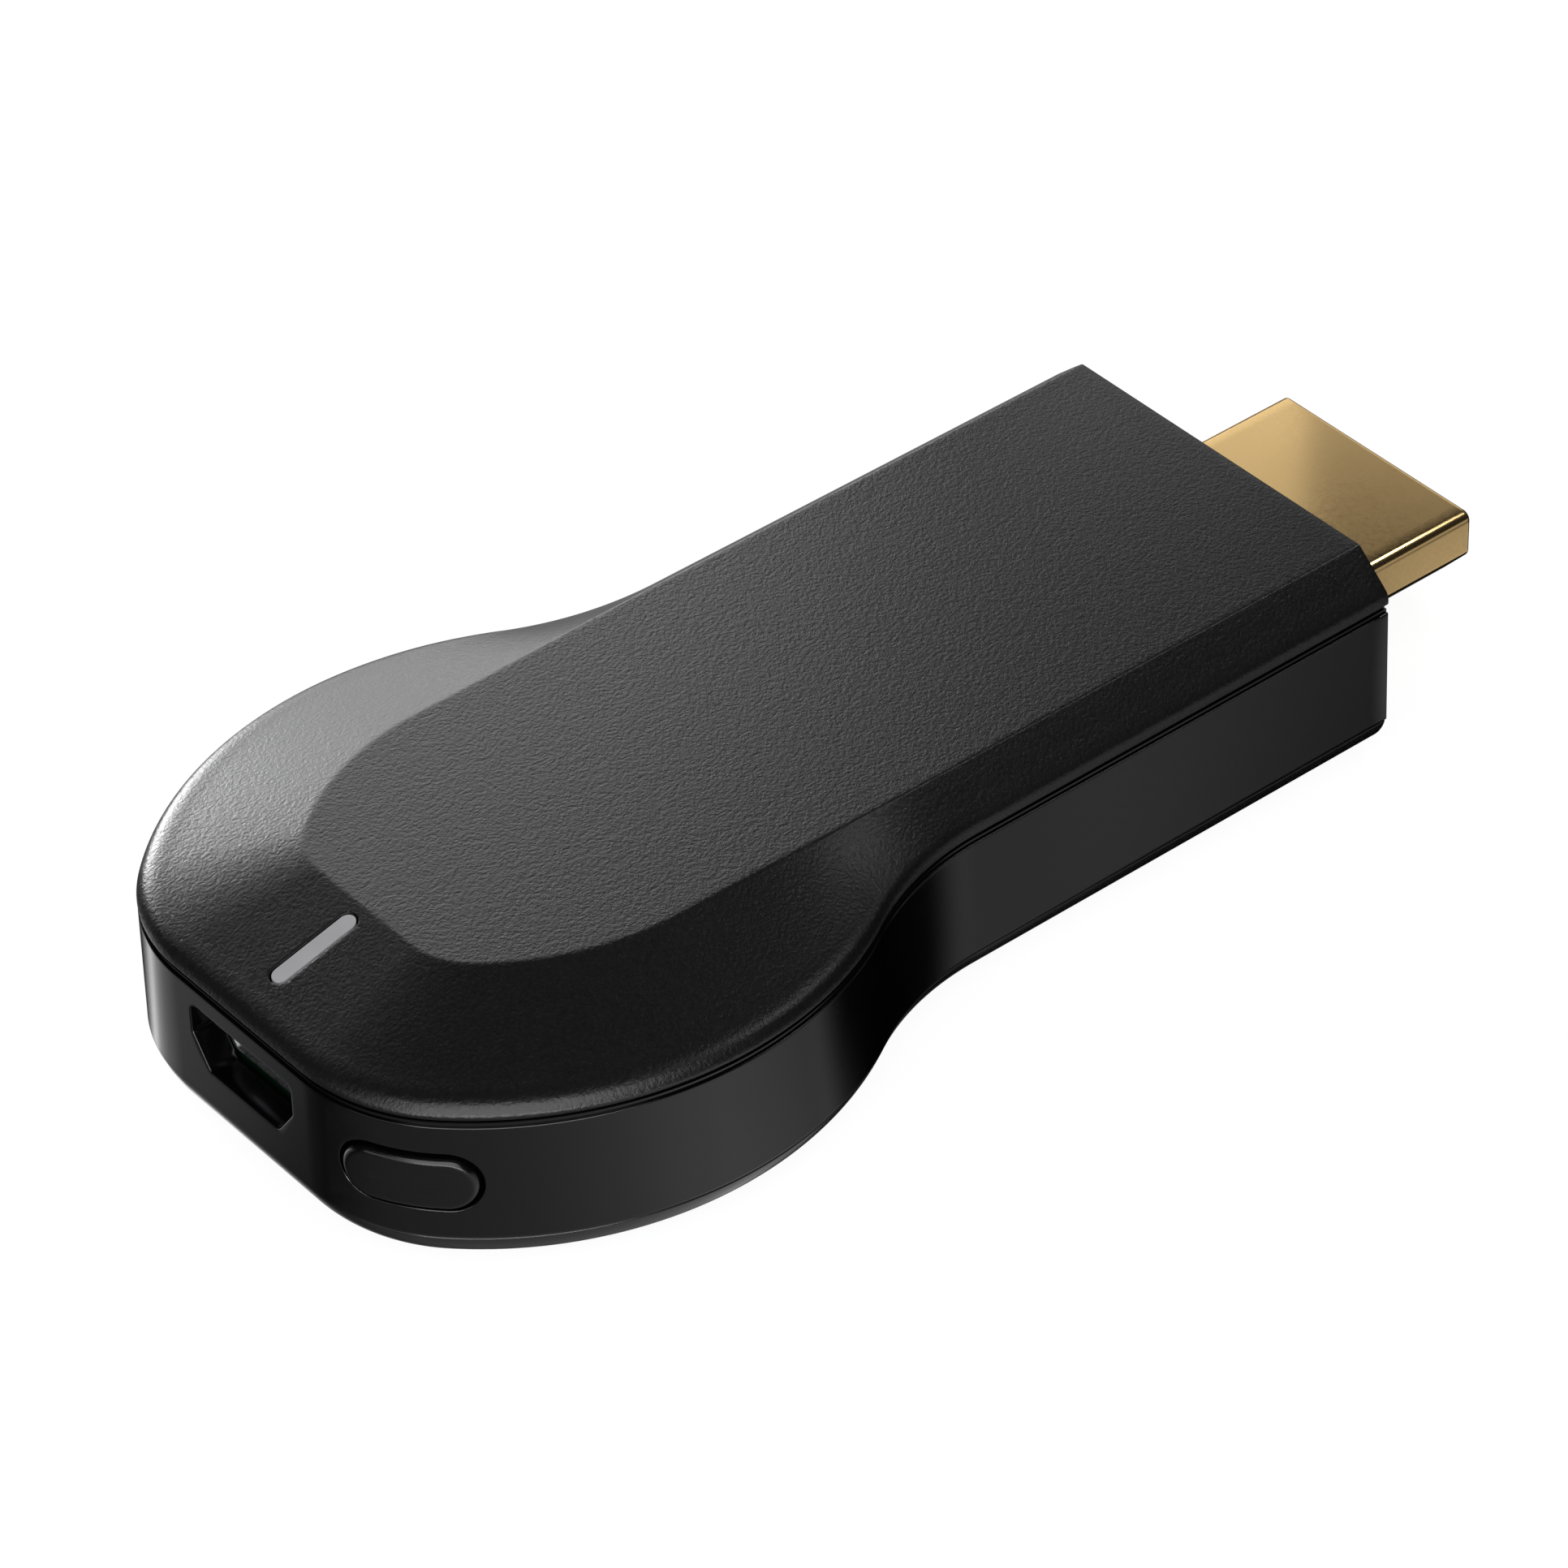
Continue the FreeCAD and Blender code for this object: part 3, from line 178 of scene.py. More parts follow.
# How finely each stretch of the half outline is divided: flat, corner, side, then stations along X
FLAT_STEPS = 50
CORNER_STEPS = 50
SIDE_STEPS = 100
SIDE_END = 17.2              # from the head end, where the stations begin
WAIST_STATIONS = 110
WAIST_REACH = 37.0
TAIL_STATIONS = 24
MIDDLE = FLAT_STEPS + CORNER_STEPS + SIDE_STEPS + WAIST_STATIONS + TAIL_STATIONS
BLOCK_ROWS = 28
SLOT_REACH = 16              # columns each side of the middle that the light pipe's block takes
MOUTH_REACH = 46             # the same for the power socket's block
POCKET_SPAN = (13, 40)       # columns that the button's block takes before and after the corner


def arc(centre, start, end, shares):
    """Points on the short arc about a centre from start to end, at shares of its angle."""
    first = np.asarray(start) - centre
    last = np.asarray(end) - centre
    turn = math.atan2(first[0] * last[1] - first[1] * last[0], first @ last)
    angle = math.atan2(first[1], first[0]) + turn * shares
    radius = math.hypot(*first)
    return centre + radius * np.stack([np.cos(angle), np.sin(angle)], 1)


def line(start, end, shares):
    """Points at shares of the way from start to end."""
    return np.asarray(start) + np.outer(shares, np.asarray(end) - np.asarray(start))


def half_keyhole(front, flat, corner, side, half, waist, tail, tail_x, inset=0.0):
    """The +Y half of a keyhole outline: flat end, corner arc, side arc, hollow waist arc, tail.

    Every arc keeps its centre under an inset, so radii fall by the inset on the round stretches and
    grow by it on the hollow waist.  Past SIDE_END the points stand at the same places along X on
    every outline.  With no waist of its own the side narrows to the tail as the case's side does.
    """
    corner_centre = np.array([front + corner, flat])
    side_y = half - side
    run = math.sqrt((side - corner) ** 2 - (flat - side_y) ** 2)
    side_centre = np.array([front + corner + run, side_y])
    to_corner = (corner_centre - side_centre) / math.hypot(*(corner_centre - side_centre))
    start = np.array([front + inset, flat])
    joint = side_centre + to_corner * (side - inset)
    side_x = HEAD_X + SIDE_END
    rise = math.sqrt((side - inset) ** 2 - (side_x - side_centre[0]) ** 2)
    side_end = np.array([side_x, side_y + rise])
    x = np.concatenate([
        np.linspace(side_x, HEAD_X + WAIST_REACH, WAIST_STATIONS + 1)[:-1],
        np.linspace(HEAD_X + WAIST_REACH, tail_x, TAIL_STATIONS + 1),
    ])
    on_side = side_y + np.sqrt(np.maximum((side - inset) ** 2 - (x - side_centre[0]) ** 2, 0))
    if waist:
        waist_y = tail + waist
        reach = math.sqrt((side + waist) ** 2 - (waist_y - side_y) ** 2)
        waist_x = side_centre[0] + reach
        turn_x = side_centre[0] + reach * (side - inset) / (side + waist)
        on_waist = waist_y - np.sqrt(np.maximum((waist + inset) ** 2 - (x - waist_x) ** 2, 0))
        y = np.where(x < turn_x, on_side, np.where(x < waist_x, on_waist, tail - inset))
    else:
        widest = np.array([side_centre[0]])
        share = case_share(x) / case_share(widest)
        y = np.where(x < side_centre[0], on_side, mix(tail, half, share) - inset)
    return np.concatenate([
        line((front + inset, 0.0), start, np.arange(FLAT_STEPS) / FLAT_STEPS),
        arc(corner_centre, start, joint, np.arange(CORNER_STEPS) / CORNER_STEPS),
        arc(side_centre, joint, side_end, np.arange(SIDE_STEPS) / SIDE_STEPS),
        np.stack([x, y], 1),
    ])


def case_share(x):
    """How much of the head's extra half width the case still has past its widest place, from 1 to 0."""
    side_y, waist_y = HEAD_HALF - SIDE_RADIUS, TAIL_HALF + WAIST_RADIUS
    reach = math.sqrt((SIDE_RADIUS + WAIST_RADIUS) ** 2 - (waist_y - side_y) ** 2)
    start = WAIST_END_X - reach
    turn = start + reach * SIDE_RADIUS / (SIDE_RADIUS + WAIST_RADIUS)
    on_side = side_y + np.sqrt(np.maximum(SIDE_RADIUS ** 2 - (x - start) ** 2, 0))
    on_waist = waist_y - np.sqrt(np.maximum(WAIST_RADIUS ** 2 - (x - WAIST_END_X) ** 2, 0))
    y = np.where(x < turn, on_side, np.where(x < WAIST_END_X, on_waist, TAIL_HALF))
    return (y - TAIL_HALF) / (HEAD_HALF - TAIL_HALF)


def round_the_head(half):
    """Both halves as one open path, from the -Y end of the tail round the head to the +Y end."""
    return np.concatenate([half[:0:-1] * (1, -1), half])


def case_path(inset, tail_x=TAIL_X):
    """The case's side, moved inwards by an inset."""
    return round_the_head(half_keyhole(HEAD_X, HEAD_FLAT, CORNER_RADIUS, SIDE_RADIUS, HEAD_HALF,
                                       WAIST_RADIUS, TAIL_HALF, tail_x, inset))


def mix(a, b, share):
    """The value a share of the way from a to b."""
    return a + (b - a) * share


def slope_path(share, tail_inset, tail_x=TAIL_X):
    """A level line down the slope: on the straight fall in the head, at its own inset at the tail."""
    return round_the_head(half_keyhole(
        mix(HEAD_X, HEAD_X + PLATEAU_SETBACK, share),
        mix(HEAD_FLAT, PLATEAU_FLAT, share),
        mix(CORNER_RADIUS, PLATEAU_CORNER, share),
        mix(SIDE_RADIUS, PLATEAU_SIDE, share),
        mix(HEAD_HALF, PLATEAU_HALF, share),
        None,
        TAIL_HALF - tail_inset,
        tail_x))


def lift(path, z):
    """A plan path as points in space at a height."""
    return np.column_stack([path, np.broadcast_to(z, len(path))])


class Skin:
    """Points and faces of one piece, gathered from grids and flat fills, then welded."""

    def __init__(self):
        self.points = []
        self.faces = []
        self.count = 0

    def add(self, points):
        """Keep some points and return the number of the first."""
        first = self.count
        self.points.append(np.asarray(points, float).reshape(-1, 3))
        self.count += len(self.points[-1])
        return first

    def grid(self, rows, closed=False, skip=None):
        """Quads over a (rows, columns, 3) array; skip is a mask of cells that are left out."""
        rows = np.asarray(rows, float)
        tall, wide = rows.shape[:2]
        first = self.add(rows)
        index = first + np.arange(tall * wide).reshape(tall, wide)
        if closed:
            index = np.concatenate([index, index[:, :1]], 1)
        quads = np.stack([index[:-1, :-1], index[:-1, 1:], index[1:, 1:], index[1:, :-1]], -1)
        if skip is not None:
            quads = quads[~skip]
        self.faces.extend(quads.reshape(-1, 4).tolist())

    def fill(self, loop):
        """One flat face inside a closed loop."""
        first = self.add(loop)
        self.faces.append(list(range(first, first + len(loop))))

    def ring(self, outer, inner, rows=6):
        """Quads between two closed loops of as many points, in straight lines from one to the other."""
        shares = np.linspace(0, 1, rows)[:, None, None]
        self.grid(outer[None] + (inner - outer)[None] * shares, closed=True)

    def end_wall(self, x, outline, inside):
        """Tail wall from x to the tail's end: bevelled round its (y, z) outline, flat on both faces.

        The inner face fills the loop `inside`, whose points the strips' ends share.
        """
        rows = [np.column_stack([np.full(len(outline), x), outline])]
        for out, down in rounding():
            moved = offset_loop(outline, -END_EDGE * down)
            rows.append(np.column_stack([np.full(len(outline), TAIL_X - END_EDGE * (1 - out)), moved]))
        self.grid(rows, closed=True)
        self.fill(rows[-1])
        self.fill(np.column_stack([np.full(len(inside), x), inside]))

    def finish(self, name, body, sharp=24.0):
        """Weld the seams, turn the faces outwards and make the object."""
        mesh = bpy.data.meshes.new(name)
        points = np.concatenate(self.points) * MM
        mesh.from_pydata(points.tolist(), [], self.faces)
        edit = bmesh.new()
        edit.from_mesh(mesh)
        bmesh.ops.remove_doubles(edit, verts=edit.verts, dist=2e-7)
        bmesh.ops.dissolve_degenerate(edit, dist=1e-7, edges=edit.edges)
        bmesh.ops.recalc_face_normals(edit, faces=edit.faces)
        edit.to_mesh(mesh)
        edit.free()
        mesh.shade_smooth()
        mesh.set_sharp_from_angle(angle=math.radians(sharp))
        piece = bpy.data.objects.new(name, mesh)
        bpy.context.scene.collection.objects.link(piece)
        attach(piece, body)
        return piece


def rounded_loop(corners, radius, per_corner=10, per_side=24):
    """Closed loop through corners given in order, each turned into an arc tangent to both sides."""
    corners = np.asarray(corners, float)
    pieces = []
    ahead = np.roll(corners, -1, 0) - corners
    ahead /= np.linalg.norm(ahead, axis=1)[:, None]
    behind = -np.roll(ahead, 1, 0)
    for k in range(len(corners)):
        half = math.acos(np.clip(behind[k] @ ahead[k], -1, 1)) / 2
        bisector = (behind[k] + ahead[k]) / np.linalg.norm(behind[k] + ahead[k])
        start = corners[k] + behind[k] * radius / math.tan(half)
        end = corners[k] + ahead[k] * radius / math.tan(half)
        centre = corners[k] + bisector * radius / math.sin(half)
        pieces.append(arc(centre, start, end, np.linspace(0, 1, per_corner)))
    loop = []
    for k, piece in enumerate(pieces):
        following = pieces[(k + 1) % len(pieces)][0]
        loop.append(piece)
        loop.append(line(piece[-1], following, np.linspace(0, 1, per_side + 1)[1:-1]))
    return np.concatenate(loop)


def pill_loop(length, width, count=48):
    """Closed loop of a pill: two straight sides and two half circles."""
    radius = width / 2
    reach = max(length / 2 - radius, 0.0)
    angle = np.linspace(-math.pi / 2, math.pi / 2, count)
    cap = np.stack([reach + radius * np.cos(angle), radius * np.sin(angle)], 1)
    side = line([reach, radius], [-reach, radius], np.linspace(0, 1, count)[1:-1])
    return np.concatenate([cap, side, -cap, -side])


def d_corners(half, height, side, foot, grow=0.0):
    """Corners of a D-shaped section, wide side up, with every side moved outwards by grow."""
    top = height / 2
    slant = math.atan2(height - side, half - foot)
    shoulder = grow * math.tan((math.pi / 2 - slant) / 2)
    toe = grow * math.tan(slant / 2)
    return np.array([
        (half + grow, top + grow),
        (-half - grow, top + grow),
        (-half - grow, top - side - shoulder),
        (-foot - toe, -top - grow),
        (foot + toe, -top - grow),
        (half + grow, top - side - shoulder),
    ])


def ray_shares(loop, centre):
    """Share of a closed loop's length at each point, anticlockwise from the ray along +u."""
    closed = np.concatenate([loop, loop[:1]])
    steps = np.linalg.norm(np.diff(closed, axis=0), axis=1)
    along = np.concatenate([[0], np.cumsum(steps)])
    u, v = (closed - centre).T
    crossing = (v[:-1] * v[1:] <= 0) & (v[:-1] != v[1:]) & (u[:-1] + u[1:] > 0)
    k = np.flatnonzero(crossing)[0]
    start = along[k] + steps[k] * v[k] / (v[k] - v[k + 1])
    area = np.sum(closed[:-1, 0] * closed[1:, 1] - closed[1:, 0] * closed[:-1, 1])
    return math.copysign(1.0, area) * (along[:-1] - start) / along[-1] % 1.0


def at_shares(loop, centre, shares):
    """Points of a closed loop at shares of its length, as ray_shares counts them."""
    own = ray_shares(loop, centre)
    order = np.argsort(own)
    own = np.concatenate([own[order[-1:]] - 1, own[order], own[order[:1]] + 1])
    points = loop[np.concatenate([order[-1:], order, order[:1]])]
    return np.stack([np.interp(shares, own, points[:, k]) for k in range(2)], 1)


def block_border(rows):
    """Closed loop round a block of grid points: up its last column, back along its top, and round."""
    return np.concatenate([rows[:-1, -1], rows[-1, :0:-1], rows[:0:-1, 0], rows[0, :-1]])


def cut_above(loop, z):
    """The run of a closed anticlockwise loop above a height, with its two crossing points."""
    above = loop[:, 1] > z
    start = np.flatnonzero(above & ~np.roll(above, 1))[0]
    loop = np.roll(loop, -start, 0)
    count = int(above.sum())
    run = loop[:count]
    ends = []
    for low, high in ((loop[-1], run[0]), (loop[count], run[-1])):
        ends.append(low + (high - low) * (z - low[1]) / (high[1] - low[1]))
    return np.concatenate([ends[:1], run, ends[1:]])


class Wall:
    """The case's side seen along one direction: places on it are (across, height)."""

    def __init__(self, toward, start):
        self.toward = np.asarray(toward, float)
        self.across = np.array([-self.toward[1], self.toward[0]])
        self.start = np.asarray(start, float)

    def measure(self, points):
        """Distance across the wall's direction of points (x, y)."""
        return (points - self.start) @ self.across

    def at(self, place, inset):
        """Points of the wall behind places, at an inset of one value or one per place."""
        levels = []
        for depth in (0.0, 1.0):
            path = case_path(depth)
            near = ((path - self.start) @ self.toward > -6.0) & (np.abs(self.measure(path)) < 9.0)
            order = np.argsort(self.measure(path[near]))
            across = self.measure(path[near])[order]
            levels.append([np.interp(place[:, 0], across, path[near, k][order]) for k in range(2)])
        outer, inner = np.array(levels)
        x, y = outer + (inner - outer) * inset
        return np.column_stack([x, y, place[:, 1]])


BUTTON_TOWARD = np.array([-math.cos(math.radians(BUTTON_ANGLE)), -math.sin(math.radians(BUTTON_ANGLE))])
BUTTON_WALL = Wall(BUTTON_TOWARD, np.array([HEAD_X + CORNER_RADIUS, -HEAD_FLAT])
                   + CORNER_RADIUS * BUTTON_TOWARD)
MOUTH_WALL = Wall((-1.0, 0.0), (HEAD_X, 0.0))


def band_inset(z):
    """The band's outer face leans out towards its foot by the draft."""
    return -DRAFT * (BAND_TOP - z) / (BAND_TOP - BAND_FOOT)


def rounding(count=4):
    """Pairs (out, down) along a quarter round of unit radius, from the flat to the upright."""
    angle = np.linspace(0, math.pi / 2, count + 1)
    return np.stack([np.sin(angle), 1 - np.cos(angle)], 1)


def offset_loop(loop, distance):
    """Closed loop moved outwards by a distance, along the mean of its neighbours' normals."""
    back = loop - np.roll(loop, 1, 0)
    ahead = np.roll(loop, -1, 0) - loop
    normals = []
    for step in (back, ahead):
        step = step / np.maximum(np.linalg.norm(step, axis=1)[:, None], 1e-9)
        normals.append(np.stack([step[:, 1], -step[:, 0]], 1))
    mean = normals[0] + normals[1]
    mean /= np.linalg.norm(mean, axis=1)[:, None]
    cosine = np.maximum(np.sum(mean * normals[0], 1), 0.4)
    area = np.sum(loop[:, 0] * np.roll(loop[:, 1], -1) - np.roll(loop[:, 0], -1) * loop[:, 1])
    return loop + mean * (math.copysign(1.0, area) * distance / cosine)[:, None]


def mirrored(side):
    """A (y, z) run up the +Y side of the tail's section, and back down its -Y side."""
    side = np.asarray(side)
    return np.concatenate([side, side[::-1] * (-1, 1)])


def plug_opening():
    """Outline of the plug's opening through the tail wall, anticlockwise in (y, z)."""
    corners = d_corners(PLUG_HALF, PLUG_HEIGHT, PLUG_SIDE, PLUG_FOOT_HALF, PLUG_GAP)
    return rounded_loop(corners, PLUG_CORNER + PLUG_GAP, 8, 12) + (0.0, PLUG_Z)


STRIP_END_X = TAIL_X - WALL


def band():
    """Side band: a drafted face, small bevels, the tongue on top, the tail wall and the openings.

    Its closed profile is carried along the case outline.  Where an opening stands, the cells of a
    block are left out, and rings of straight lines run from the block's edge to the opening.
    """
    skin = Skin()
    heights = np.linspace(FACE_LOW, FACE_HIGH, BLOCK_ROWS)
    foot = [(band_inset(BAND_FOOT) + SEAM_EDGE * (1 - out), BAND_FOOT + SEAM_EDGE * down)
            for out, down in rounding()]
    face_z = np.concatenate([[BAND_FOOT + SEAM_EDGE + 0.1], heights, [BAND_TOP - BRIM_EDGE - 0.1]])
    face = [(band_inset(z), z) for z in face_z]
    brim = [(BRIM_EDGE * (1 - out), BAND_TOP - BRIM_EDGE * down) for out, down in rounding()[::-1]]
    outer = foot + face + brim
    bead = [(BEAD_INSET, BAND_TOP), (BEAD_INSET, BEAD_TOP), (TONGUE_INSET, BEAD_TOP)]
    tongue = [(TONGUE_INSET, TONGUE_TOP), (WALL, TONGUE_TOP)]
    inner = [(WALL, z) for z in (BAND_TOP, FACE_HIGH, FACE_LOW, BAND_FOOT)]
    profile = outer + bead + tongue + inner
    rows = np.array([lift(case_path(inset, STRIP_END_X), z) for inset, z in profile])
    first_outer = len(foot) + 1
    first_inner = len(outer) + len(bead) + len(tongue) + 1
    corner = MIDDLE - FLAT_STEPS - CORNER_STEPS
    blocks = (
        (MOUTH_WALL, MIDDLE - MOUTH_REACH, MIDDLE + MOUTH_REACH, MOUTH_Z, mouth_outline),
        (BUTTON_WALL, corner - POCKET_SPAN[0], corner + POCKET_SPAN[1], BUTTON_Z, pocket_outline),
    )
    skip = np.zeros((len(rows), len(rows[0]) - 1), bool)
    for wall, first, last, centre_z, outline in blocks:
        skip[first_outer:first_outer + BLOCK_ROWS - 1, first:last] = True
        skip[first_inner, first:last] = True
        outside = block_border(rows[first_outer:first_outer + BLOCK_ROWS, first:last + 1])
        inside = block_border(rows[first_inner:first_inner + 2, first:last + 1])
        opening(skin, wall, outside, inside, centre_z, outline)
    skin.grid(np.concatenate([rows, rows[:1]]), skip=skip)
    tongue_first = len(outer) + 2
    for end in (rows[:, 0], rows[:, -1]):
        skin.fill(end[tongue_first:tongue_first + 4])
    side = [(TAIL_HALF - i, z) for i, z in outer + bead + inner[:1]]
    notch = cut_above(plug_opening(), BAND_FOOT)[::-1]
    corner_foot = [(TAIL_HALF - WALL, BAND_FOOT)]
    outline = np.concatenate([mirrored(corner_foot + side), notch])
    inside = np.concatenate([mirrored([(TAIL_HALF - i, z) for i, z in inner[::-1]]), notch])
    skin.end_wall(STRIP_END_X, outline, inside)
    tongue_bar(skin)
    return skin.finish("side_band", "root")


def tongue_bar(skin):
    """The tongue's run across the tail wall, sunk a little into it."""
    half = TAIL_HALF - TONGUE_INSET
    foot = BAND_TOP - TONGUE_SINK
    section = [(half, foot), (half, TONGUE_TOP), (-half, TONGUE_TOP), (-half, foot)]
    rows = [np.column_stack([np.full(4, x), section])
            for x in (STRIP_END_X + 0.01, TAIL_X - TONGUE_INSET)]
    skin.grid(rows, closed=True)
    skin.fill(rows[0])
    skin.fill(rows[1])


def mouth_outline(grow):
    """Outline of the power socket's opening."""
    corners = d_corners(MOUTH_HALF, MOUTH_HEIGHT, MOUTH_SIDE, MOUTH_FOOT_HALF, grow)
    return rounded_loop(corners, MOUTH_CORNER + grow)


def pocket_outline(grow):
    """Outline of the button's pocket."""
    return pill_loop(POCKET_LENGTH + 2 * grow, POCKET_HEIGHT + 2 * grow)


def opening(skin, wall, outside, inside, centre_z, outline):
    """An opening through the wall: a ring on each face, a rounded edge, and its own wall between."""
    centre = (0.0, centre_z)
    holes = []
    shares = ray_shares(np.column_stack([wall.measure(outside[:, :2]), outside[:, 2]]), centre)
    for out, down in rounding():
        place = at_shares(outline(HOLE_EDGE * (1 - out)) + centre, centre, shares)
        holes.append(wall.at(place, band_inset(place[:, 1]) + HOLE_EDGE * down))
    skin.ring(outside, holes[0], 8)
    place = at_shares(outline(0.0) + centre, centre, shares)
    holes += [wall.at(place, 0.5), wall.at(place, WALL)]
    skin.grid(holes, closed=True)
    shares = ray_shares(np.column_stack([wall.measure(inside[:, :2]), inside[:, 2]]), centre)
    skin.ring(inside, wall.at(at_shares(outline(0.0) + centre, centre, shares), WALL), 3)


def base():
    """Bottom cover: a quarter-round edge carried along the case outline, a flat floor, a tail wall."""
    skin = Skin()
    centre_inset = UNDERSIDE_ROUND - DRAFT
    first = math.asin((UNDERSIDE_ROUND - BASE_RIM + TRAY_EDGE) / UNDERSIDE_ROUND)
    curve = [(centre_inset - UNDERSIDE_ROUND * math.cos(a), UNDERSIDE_ROUND * (1 - math.sin(a)))
             for a in np.linspace(first, math.pi / 2, 24)]
    rim = [(curve[0][0] + TRAY_EDGE * (1 - out), BASE_RIM - TRAY_EDGE * down)
           for out, down in rounding()]
    outer = rim[:-1] + curve
    profile = [(WALL, FLOOR_THICKNESS), (WALL, BASE_RIM)] + outer
    rows = [lift(case_path(inset, STRIP_END_X), z) for inset, z in profile]
    skin.grid(rows)
    skin.fill(rows[0])
    skin.fill(rows[-1])
    side = [(TAIL_HALF - i, z) for i, z in outer[::-1]] + [(TAIL_HALF - WALL, BASE_RIM)]
    notch = cut_above(plug_opening()[::-1] * (1, -1), -BASE_RIM) * (1, -1)
    notch = notch[np.argsort(-notch[:, 0])]
    right = np.array(side)
    outline = np.concatenate([right, notch, right[::-1] * (-1, 1)])
    wall = np.array([(TAIL_HALF - WALL, FLOOR_THICKNESS), (TAIL_HALF - WALL, BASE_RIM)])
    inside = np.concatenate([wall, notch, wall[::-1] * (-1, 1)])
    skin.end_wall(STRIP_END_X, outline, inside)
    return skin.finish("base_tray", "root")


def cover():
    """Top cover: slope lines joined by a smooth curve, a flat plateau, the pipe's slot, a tail wall.

    Rows between the named lines lie on a curve that passes through each of them with the slope of its
    neighbours (a Catmull-Rom curve on the distances between lines).
    """
    skin = Skin()
    end_x = TAIL_X - LIP_THICKNESS
    lines = [lift(slope_path(share, tail, end_x), z) for z, share, tail in SLOPE_LINES]
    rows = smooth_rows(np.array(lines))
    lip = case_path(LIP_THICKNESS, end_x)
    under = [lift(lip, LIP_Z), lift(lip, ROOM_TOP)]
    for z, share, tail in SLOPE_LINES[INNER_FROM:]:
        path = slope_path(share, tail + COVER_THICKNESS, end_x)
        under.append(lift(path, max(z - COVER_THICKNESS, ROOM_TOP)))
    under = np.array(under)
    columns = slice(MIDDLE - SLOT_REACH, MIDDLE + SLOT_REACH)
    low, high = sum(ROWS_BETWEEN[:SLOT_FROM]), sum(ROWS_BETWEEN[:SLOT_TO])
    under_low, under_high = 2 + SLOT_FROM - INNER_FROM, 2 + SLOT_TO - INNER_FROM
    skip = np.zeros((len(rows) - 1, len(rows[0]) - 1), bool)
    skip[low:high, columns] = True
    skin.grid(rows, skip=skip)
    skip = np.zeros((len(under) - 1, len(rows[0]) - 1), bool)
    skip[under_low:under_high, columns] = True
    skin.grid(under, skip=skip)
    recess = case_path(LIP_INSET, end_x)
    skin.grid([rows[0], lift(recess, RIM_FOOT), lift(recess, LIP_Z), under[0]])
    wide = slice(columns.start, columns.stop + 1)
    slot(skin, block_border(rows[low:high + 1, wide]),
         block_border(under[under_low:under_high + 1, wide]))
    crest = rows[-1]
    skin.grid(plateau(crest))
    skin.fill(under[-1])
    across = np.linspace(1, -1, 2 * FLAT_STEPS + 1)[1:-1]
    brow = np.column_stack([across * crest[-1, 1], np.full(len(across), CASE_TOP)])
    side = rows[:, -1, 1:]
    recess_y = TAIL_HALF - LIP_INSET
    lip_end = np.array([under[0, -1, 1:], (recess_y, LIP_Z), (recess_y, RIM_FOOT)])
    outline = np.concatenate([lip_end, side, brow, side[::-1] * (-1, 1), lip_end[::-1] * (-1, 1)])
    skin.end_wall(end_x, outline, mirrored(under[:, -1, 1:]))
    return skin.finish("top_shell", "root")


def plateau(crest):
    """Flat rows across the plateau, between the two halves of its edge."""
    half = crest[MIDDLE + FLAT_STEPS:]
    across = np.linspace(-1, 1, 2 * FLAT_STEPS + 1)
    x = np.broadcast_to(half[:, :1], (len(half), len(across)))
    return np.stack([x, half[:, 1:2] * across, np.full_like(x, CASE_TOP)], -1)


def smooth_rows(lines):
    """Rows on a Catmull-Rom curve through the lines, with a number of steps between each two."""
    before = np.concatenate([2 * lines[:1] - lines[1:2], lines[:-1]])
    after = np.concatenate([lines[1:], 2 * lines[-1:] - lines[-2:-1]])
    back = np.linalg.norm(lines - before, axis=2)[..., None]
    ahead = np.linalg.norm(after - lines, axis=2)[..., None]
    slope = ((lines - before) / back * ahead + (after - lines) / ahead * back) / (back + ahead)
    rows = []
    for k, steps in enumerate(ROWS_BETWEEN):
        gap = np.linalg.norm(lines[k + 1] - lines[k], axis=1)[:, None]
        for t in np.arange(steps) / steps:
            start = ((2 * t ** 3 - 3 * t ** 2 + 1) * lines[k]
                     + (t ** 3 - 2 * t ** 2 + t) * gap * slope[k])
            end = (3 * t ** 2 - 2 * t ** 3) * lines[k + 1] + (t ** 3 - t ** 2) * gap * slope[k + 1]
            rows.append(start + end)
    rows.append(lines[-1])
    return np.array(rows)


def front_height(x):
    """Height of the flat front fall at a place from the head end."""
    return FALL_FOOT_Z + (CASE_TOP - FALL_FOOT_Z) * (x - HEAD_X) / PLATEAU_SETBACK


def slot(skin, border, under):
    """The light pipe's slot: a ring on the front fall, an upright wall, and a ring underneath."""
    centre = (PIPE_MIDDLE, 0.0)

    def pill(shares, grow):
        outline = pill_loop(PIPE_LENGTH + 2 * grow, PIPE_WIDTH + 2 * grow) + centre
        return at_shares(outline, centre, shares)

    def foot(shares):
        place = pill(shares, PIPE_GAP)
        return lift(place, np.maximum(front_height(place[:, 0]) - COVER_THICKNESS, ROOM_TOP))

    shares = ray_shares(border[:, :2], centre)
    holes = []
    for out, down in rounding(3):
        place = pill(shares, PIPE_GAP + SLOT_EDGE * (1 - out))
        holes.append(lift(place, front_height(place[:, 0]) - SLOT_EDGE * down))
    skin.ring(border, holes[0], 6)
    holes.append(foot(shares))
    skin.grid(holes, closed=True)
    skin.ring(under, foot(ray_shares(under[:, :2], centre)), 3)


